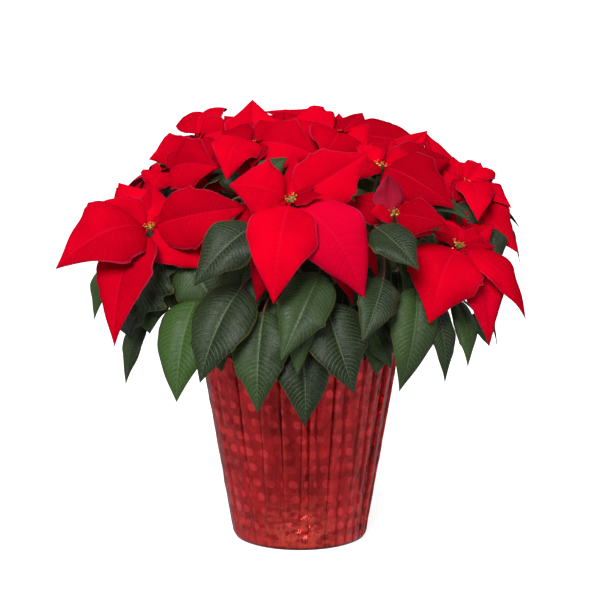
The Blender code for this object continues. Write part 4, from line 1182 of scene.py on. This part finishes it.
def young_bracts(name, draw):
    """The small bracts round a head's cups: a nearer head leaves its front open, the others close it."""
    top, face = head_frame(name)
    side = unit(np.cross(face, (0.0, -1.0, 0.0)))
    back = np.cross(side, face)
    back = back if back[1] > 0 else -back
    near = name in CUP_COUNTS
    count, first, step = (5, -30, 60) if near else (RING_COUNT, -150, RING_STEP)
    longs, rises = ((0.022, 0.036), (0.05, 0.4)) if near else ((0.011, 0.018), (-0.1, 0.25))
    found = []
    for i in range(count):
        out = spoke(side, back, math.radians(first + step * i + draw.uniform(-14, 14)))
        long = draw.uniform(*longs)
        tip = top + out * long + face * long * draw.uniform(*rises)
        found.append(bract(name, tip, long * draw.uniform(0.42, 0.60), draw.uniform(-0.10, 0.12), 0.35))
    for i in range(RING_COUNT if name in BACK_HEADS else 0):
        out = spoke(side, back, math.radians(RING_STEP * i + 25 + draw.uniform(-10, 10)))
        long = draw.uniform(0.046, 0.060)
        tip = top + out * long + face * long * draw.uniform(-0.1, 0.1)
        found.append(bract(name, tip, long * 0.66, 0.14, 0))
    return found


def collar_leaves(name, draw):
    """The leaves close under a head's bracts, reaching out and down: none on a nearer head, a full collar on
    a head at the back, and only at their back on the others.
    """
    top, face = head_frame(name)
    found = []
    for i in range(RING_COUNT):
        angle = math.radians(RING_STEP * i + draw.uniform(-14, 14))
        out = np.array((math.cos(angle), math.sin(angle), 0.0))
        if name in CUP_COUNTS or (name not in BACK_HEADS and out[1] < 0.2):
            continue
        long = draw.uniform(0.050, 0.068)
        base = top - face * 0.020 + out * 0.014
        tip = base + out * long * 0.85 - np.array((0, 0, long * draw.uniform(0.45, 0.7)))
        found.append(leaf(base, tip, long * 0.55, 0))
    return found


def trunk_shell(x, y):
    """A trunk, from near the foot of its hole in the mix to above the mix."""
    heights = np.linspace(SOIL_HEIGHT - STEM_HOLE_DEPTH + SEAT_GAP, SOIL_HEIGHT + TRUNK_TOP, 12)
    return tube_shell([(x, y, z) for z in heights], TRUNK_RADIUS, 14, finish=2)


def branch_shell(name):
    """The branch under a head, thinner to its neck."""
    path = branch_path(name)
    return tube_shell(path, np.linspace(BRANCH_RADIUS, BRANCH_TIP_RADIUS, len(path)), 10, finish=2)


def grown_leaves(draw):
    """Every leaf: the head whose branch bears it and at what share of it, its blade, its bow and its tone."""
    grown = []
    for place, (name, share, base, tip, width, turned) in enumerate(LEAVES):
        base, tip = np.array(base) / 1000, np.array(tip) / 1000
        blade = leaf(base, tip, width / 1000, turned, place == TOOTHED_LEAF)
        grown.append((name, share, blade, *MARKED_LEAVES.get(place, (None, draw.random()))))
    for name in HEADS:
        grown += [(name, COLLAR_SHARE, blade, None, draw.random()) for blade in collar_leaves(name, draw)]
    return grown


class PlantSettings(bpy.types.PropertyGroup):
    """Colours of the bracts and leaves, and how strongly their veins show."""

    bract_color: FloatVectorProperty(
        name="Bract colour",
        description="Colour of a bract's upper face",
        subtype="COLOR",
        default=(0.84, 0.0, 0.016),
    )
    leaf_color: FloatVectorProperty(
        name="Leaf colour",
        description="Colour of a leaf's upper face",
        subtype="COLOR",
        default=(0.042, 0.092, 0.016),
    )
    vein_strength: FloatProperty(
        name="Side veins", description="How far the side veins show", default=0.45, min=0, max=1
    )
    midrib_strength: FloatProperty(
        name="Midrib", description="How far the midrib takes the veins' colour", default=0.6, min=0, max=1
    )
    net_strength: FloatProperty(
        name="Small veins", description="How far the net of small veins shows", default=0.15, min=0, max=1
    )


class CoverSettings(bpy.types.PropertyGroup):
    """Sizes and colours of the foil cover."""

    pleats: IntProperty(
        name="Pleats", description="How many pleats go round the cover", default=46, min=12, max=90
    )
    pleat_depth: FloatProperty(
        name="Pleat depth", description="How deep a pleat is at the top", unit="LENGTH", default=0.0036
    )
    crumple: FloatProperty(
        name="Crumple", description="How far the crumpled foil stands proud", unit="LENGTH", default=0.0006
    )
    foil_color: FloatVectorProperty(
        name="Foil colour",
        description="Colour between the dots",
        subtype="COLOR",
        default=(0.62, 0.017, 0.023),
    )
    dot_color: FloatVectorProperty(
        name="Dot colour", description="Colour of the dots", subtype="COLOR", default=(0.98, 0.045, 0.055)
    )
    dot_size: FloatProperty(name="Dot size", description="Width of a dot", unit="LENGTH", default=0.0079)
    dot_pitch: FloatProperty(
        name="Dot pitch", description="Distance between dots in a row", unit="LENGTH", default=0.0142
    )


class StageSettings(bpy.types.PropertyGroup):
    """Light and floor."""

    key_strength: FloatProperty(
        name="Key light", description="Strength of the soft key light", default=2.8, min=0
    )
    sky_strength: FloatProperty(
        name="Sky", description="Brightness of the surround overhead", default=0.45, min=0
    )
    level_strength: FloatProperty(
        name="Level", description="Brightness of the surround at the height of the plant", default=0.16, min=0
    )
    ground_strength: FloatProperty(
        name="Ground", description="Brightness of the surround from below", default=0.45, min=0
    )
    floor_glow: FloatProperty(
        name="Floor glow", description="Light that the floor gives off", default=0.72, min=0
    )
    glint_strength: FloatProperty(
        name="Glint", description="Strength of the low lights that only make glints", default=0.5, min=0
    )
    floor_size: FloatProperty(name="Floor", description="Width of the floor", unit="LENGTH", default=80.0)


class POINSETTIA_OT_bracts(bpy.types.Operator):
    """Builds each head's rosette of bracts on its hub"""

    bl_idname = "poinsettia.bracts"
    bl_label = "Bracts"

    def execute(self, context):
        settings = context.scene.poinsettia_plant
        reds = Palette(
            lit=settings.bract_color,
            # The shaded colour is a darker copy of the lit one, for painted shade
            shaded=rgba(settings.bract_color, 0.48),
            vein=(0.72, 0.006, 0.045),
            below=(0.44, 0.020, 0.060),
            fresh=(0.74, 0.001, 0.036),
        )
        finishes = (
            blade_finish("bract_red", settings, reds, 0.52, 0.0, 0.8),
            stalk_finish("hub_red", (0.05, 0.06, 0.02), (0.16, 0.012, 0.008)),
        )
        for name, rows in BRACTS.items():
            draw = random.Random(name)
            shells = []
            for place, (x, y, z, width, lift, turned) in enumerate(rows):
                blade = bract(name, np.array((x, y, z)) / 1000, width / 1000, lift, turned)
                bow, tone = MARKED_BRACTS.get((name, place), (None, draw.random()))
                shells.append(blade_shell(blade, draw, tone, bow))
            shells += [blade_shell(blade, draw, draw.random()) for blade in young_bracts(name, draw)]
            top, face = head_frame(name)
            path = top - face * np.linspace(HUB_HEIGHT, 0, 6)[:, None]
            shells.append(tube_shell(path, HUB_RADIUS * HUB_SHAPE, 16, finish=1))
            new_piece("rosette_" + name, shells, finishes, "bracts_" + name)
        return {"FINISHED"}


class POINSETTIA_OT_cyathia(bpy.types.Operator):
    """Builds the cluster of small cups at the middle of each head"""

    bl_idname = "poinsettia.cyathia"
    bl_label = "Cups"

    def execute(self, context):
        finishes = (
            cup_finish("cup_green", (0.07, 0.15, 0.02), (0.22, 0.30, 0.04)),
            cup_finish("gland_yellow", (0.85, 0.45, 0.03), (0.75, 0.60, 0.10)),
            cup_finish("stamen_red", (0.45, 0.02, 0.02), (0.75, 0.30, 0.05)),
        )
        for name in HEADS:
            new_piece("cups_" + name, cluster_shells(name), finishes, "cyathia_" + name)
        return {"FINISHED"}


class POINSETTIA_OT_leafy_stems(bpy.types.Operator):
    """Builds each rooted plant: its trunk, its branches, and its leaves on their stalks"""

    bl_idname = "poinsettia.leafy_stems"
    bl_label = "Leafy stems"

    def execute(self, context):
        settings = context.scene.poinsettia_plant
        greens = Palette(
            lit=settings.leaf_color,
            # The shaded colour is a darker copy of the lit one, for painted shade
            shaded=rgba(settings.leaf_color, 0.16),
            vein=(0.16, 0.23, 0.11),
            below=(0.10, 0.085, 0.02),
            fresh=(0.028, 0.085, 0.004),
        )
        finishes = (
            blade_finish("leaf_green", settings, greens, 0.43, 0.30, 1.2),
            stalk_finish("petiole", (0.12, 0.12, 0.03), (0.16, 0.04, 0.02)),
            stalk_finish("stem_green", (0.10, 0.12, 0.04), (0.12, 0.18, 0.05)),
        )
        for trunk, place in TRUNKS.items():
            draw = random.Random(trunk)
            borne = [name for name in HEADS if HEADS[name][3] == trunk]
            shells = [trunk_shell(*place)] + [branch_shell(name) for name in borne]
            for name, share, blade, bow, tone in grown_leaves(draw):
                if name in borne:
                    shells.append(blade_shell(blade, draw, tone, bow))
                    shells.append(petiole(branch_foot(name, share), blade))
            new_piece("foliage_" + trunk, shells, finishes, "leafy_stem_" + trunk)
        return {"FINISHED"}


class POINSETTIA_OT_pot_cover(bpy.types.Operator):
    """Builds the pleated foil cover"""

    bl_idname = "poinsettia.pot_cover"
    bl_label = "Foil cover"

    def execute(self, context):
        settings = context.scene.poinsettia_cover
        cover = build_cover_shell(settings)
        new_piece("foil_cover", [cover], [foil_finish(settings)], "pot_cover")
        return {"FINISHED"}


class POINSETTIA_OT_nursery_pot(bpy.types.Operator):
    """Builds the plain pot inside the cover"""

    bl_idname = "poinsettia.nursery_pot"
    bl_label = "Nursery pot"

    def execute(self, context):
        foot = COVER_FLOOR + SEAT_GAP
        top = foot + POT_HEIGHT
        rim = POT_TOP_RADIUS + POT_RIM_OUT
        step = top - POT_RIM_HEIGHT
        profile = [
            (foot, POT_BASE_RADIUS - POT_FOOT_EDGE),
            (foot + POT_FOOT_EDGE, POT_BASE_RADIUS),
            (step - POT_RIM_EDGE, POT_TOP_RADIUS),
            (step, rim),
            (top - POT_RIM_EDGE, rim),
            (top, rim - POT_RIM_EDGE),
            (top, rim - POT_WALL),
            (step - POT_WALL, POT_TOP_RADIUS - POT_WALL),
            (foot + POT_WALL, POT_BASE_RADIUS - POT_WALL),
        ]
        shell = turned_shell(np.zeros(3), (0, 0, 1), profile, 96)
        new_piece("inner_pot", [shell], [plastic_finish()], "nursery_pot")
        return {"FINISHED"}


class POINSETTIA_OT_potting_mix(bpy.types.Operator):
    """Builds the crumbly potting mix with its low crown"""

    bl_idname = "poinsettia.potting_mix"
    bl_label = "Potting mix"

    def execute(self, context):
        foot = COVER_FLOOR + SEAT_GAP + POT_WALL + SEAT_GAP
        slope = (POT_TOP_RADIUS - POT_BASE_RADIUS) / (POT_HEIGHT - POT_RIM_HEIGHT)
        inside = POT_BASE_RADIUS - POT_WALL - SEAT_GAP * 2
        edge = inside + slope * (SOIL_HEIGHT - SOIL_CROWN - foot)
        share = np.linspace(0.99, 0.02, 30)[:, None]
        angle = np.linspace(0, 2 * np.pi, 96, endpoint=False)[None]
        x, y = edge * share * np.cos(angle), edge * share * np.sin(angle)
        draw = random.Random(PLEAT_SEED)
        lumps = creases(x, y, draw, 6, 0.006, 0.016) * LUMP_HEIGHT * np.clip((1 - share) * 8, 0, 1)
        z = SOIL_HEIGHT - SOIL_CROWN * np.clip((share - 0.6) / 0.4, 0, 1) - LUMPS_SUNK + lumps
        rings = [np.stack([x, y, z], axis=-1)]
        for radius, height in ((edge, SOIL_HEIGHT - SOIL_CROWN), (inside, foot)):
            circle = (radius * np.cos(angle), radius * np.sin(angle), np.full_like(angle, height))
            rings.insert(0, np.stack(circle, axis=-1))
        mix = skin(np.concatenate(rings))
        new_piece("peat", [mix], [earth_finish()], "potting_mix")
        return {"FINISHED"}


# The lights: each one's name, the setting of its strength, its breadth and its turn in degrees
LIGHTS = (
    ("key", "key_strength", 26, (50, -20, 0)),
    ("left_glint", "glint_strength", 14, (84, 0, -28)),
    ("right_glint", "glint_strength", 14, (80, 0, 22)),
)


def white_floor(settings):
    """A wide white floor that glows, and that neither lights the plant nor shows in the foil."""
    half = settings.floor_size / 2
    mesh = bpy.data.meshes.new("floor")
    corners = [(-half, -half, 0), (half, -half, 0), (half, half, 0), (-half, half, 0)]
    mesh.from_pydata(corners, [], [(0, 1, 2, 3)])
    made = Finish("white_floor")
    faint = made.mixed(made.noise(3.0), rgba(WHITE, 0.93), rgba(WHITE, 0.96))
    made.feed(made.shader, {"Base Color": faint, "Roughness": 0.9, "Specular IOR Level": 0.0})
    made.feed(made.shader, {"Emission Color": WHITE, "Emission Strength": settings.floor_glow})
    mesh.materials.append(made.material)
    floor = bpy.data.objects.new("floor", mesh)
    floor.visible_diffuse = False
    floor.visible_glossy = False
    return floor


def white_surround(settings):
    """A surround that is dim at the height of the plant, brighter below, overhead and to both sides."""
    world = bpy.data.worlds.new("white_surround")
    world.use_nodes = True
    made = Nodes(world.node_tree)
    way = made.add("ShaderNodeTexCoord").outputs["Generated"]
    x, _, z = made.add("ShaderNodeSeparateXYZ", {0: way}).outputs
    level = settings.level_strength
    below = made.band(z, -0.45, -0.15, settings.ground_strength, level, "LINEAR")
    overhead = made.band(z, 0.0, 0.6, 0.0, settings.sky_strength - level, "LINEAR")
    sideways = made.band(made.math("ABSOLUTE", x), 0.0, 1.0, 0.65, 1.45, "LINEAR")
    bright = made.math("MULTIPLY", made.math("ADD", below, overhead), sideways)
    made.feed(made.tree.nodes["Background"], {"Color": WHITE, "Strength": bright})
    return world


def soft_lights(settings):
    """The soft key light, and the low lights that only make glints."""
    for name, strength, breadth, turned in LIGHTS:
        lamp = bpy.data.lights.new(name, "SUN")
        lamp.energy = getattr(settings, strength)
        lamp.angle = math.radians(breadth)
        light = bpy.data.objects.new(name, lamp)
        light.rotation_euler = [math.radians(angle) for angle in turned]
        light.visible_diffuse = name == "key"
        yield light


def view_camera():
    """The camera at the height and angle of the view."""
    camera = bpy.data.cameras.new("camera")
    camera.sensor_width = SENSOR_WIDTH
    camera.lens = SENSOR_WIDTH * VIEW_DISTANCE / (PICTURE_STEPS * VIEW_STEP)
    eye = bpy.data.objects.new("camera", camera)
    away, up = math.cos(VIEW_PITCH) * VIEW_DISTANCE, math.sin(VIEW_PITCH) * VIEW_DISTANCE
    eye.location = (0, -away, AIM_HEIGHT + up)
    eye.rotation_euler = (math.radians(90) - VIEW_PITCH, 0, 0)
    return eye


class POINSETTIA_OT_stage(bpy.types.Operator):
    """Lays the white floor, hangs the soft lights and sets up the camera"""

    bl_idname = "poinsettia.stage"
    bl_label = "Stage"

    def execute(self, context):
        scene = context.scene
        settings = scene.poinsettia_stage
        floor = white_floor(settings)
        scene.camera = view_camera()
        for made in (floor, *soft_lights(settings), scene.camera):
            scene.collection.objects.link(made)
        scene.world = white_surround(settings)
        scene.view_settings.view_transform = "Standard"
        return {"FINISHED"}


OPERATORS = (
    POINSETTIA_OT_bracts,
    POINSETTIA_OT_cyathia,
    POINSETTIA_OT_leafy_stems,
    POINSETTIA_OT_pot_cover,
    POINSETTIA_OT_nursery_pot,
    POINSETTIA_OT_potting_mix,
    POINSETTIA_OT_stage,
)


class POINSETTIA_PT_panel(bpy.types.Panel):
    """Lists the steps that build the potted poinsettia"""

    bl_idname = "POINSETTIA_PT_panel"
    bl_label = "Poinsettia"
    bl_space_type = "VIEW_3D"
    bl_region_type = "UI"
    bl_category = "Poinsettia"

    def draw(self, context):
        for operator in OPERATORS:
            self.layout.operator(operator.bl_idname)


SETTINGS = {
    "poinsettia_plant": PlantSettings,
    "poinsettia_cover": CoverSettings,
    "poinsettia_stage": StageSettings,
}


def register():
    """Registers the settings, the steps and the panel."""
    for name, group in SETTINGS.items():
        bpy.utils.register_class(group)
        setattr(bpy.types.Scene, name, PointerProperty(type=group))
    for made in (*OPERATORS, POINSETTIA_PT_panel):
        bpy.utils.register_class(made)


def unregister():
    """Takes them away again."""
    for made in reversed((*OPERATORS, POINSETTIA_PT_panel)):
        bpy.utils.unregister_class(made)
    for name, group in SETTINGS.items():
        delattr(bpy.types.Scene, name)
        bpy.utils.unregister_class(group)


def main():
    """Builds every piece."""
    register()
    bpy.ops.poinsettia.bracts()
    bpy.ops.poinsettia.cyathia()
    bpy.ops.poinsettia.leafy_stems()
    bpy.ops.poinsettia.pot_cover()
    bpy.ops.poinsettia.nursery_pot()
    bpy.ops.poinsettia.potting_mix()
    bpy.ops.poinsettia.stage()


if __name__ == "__main__":
    main()
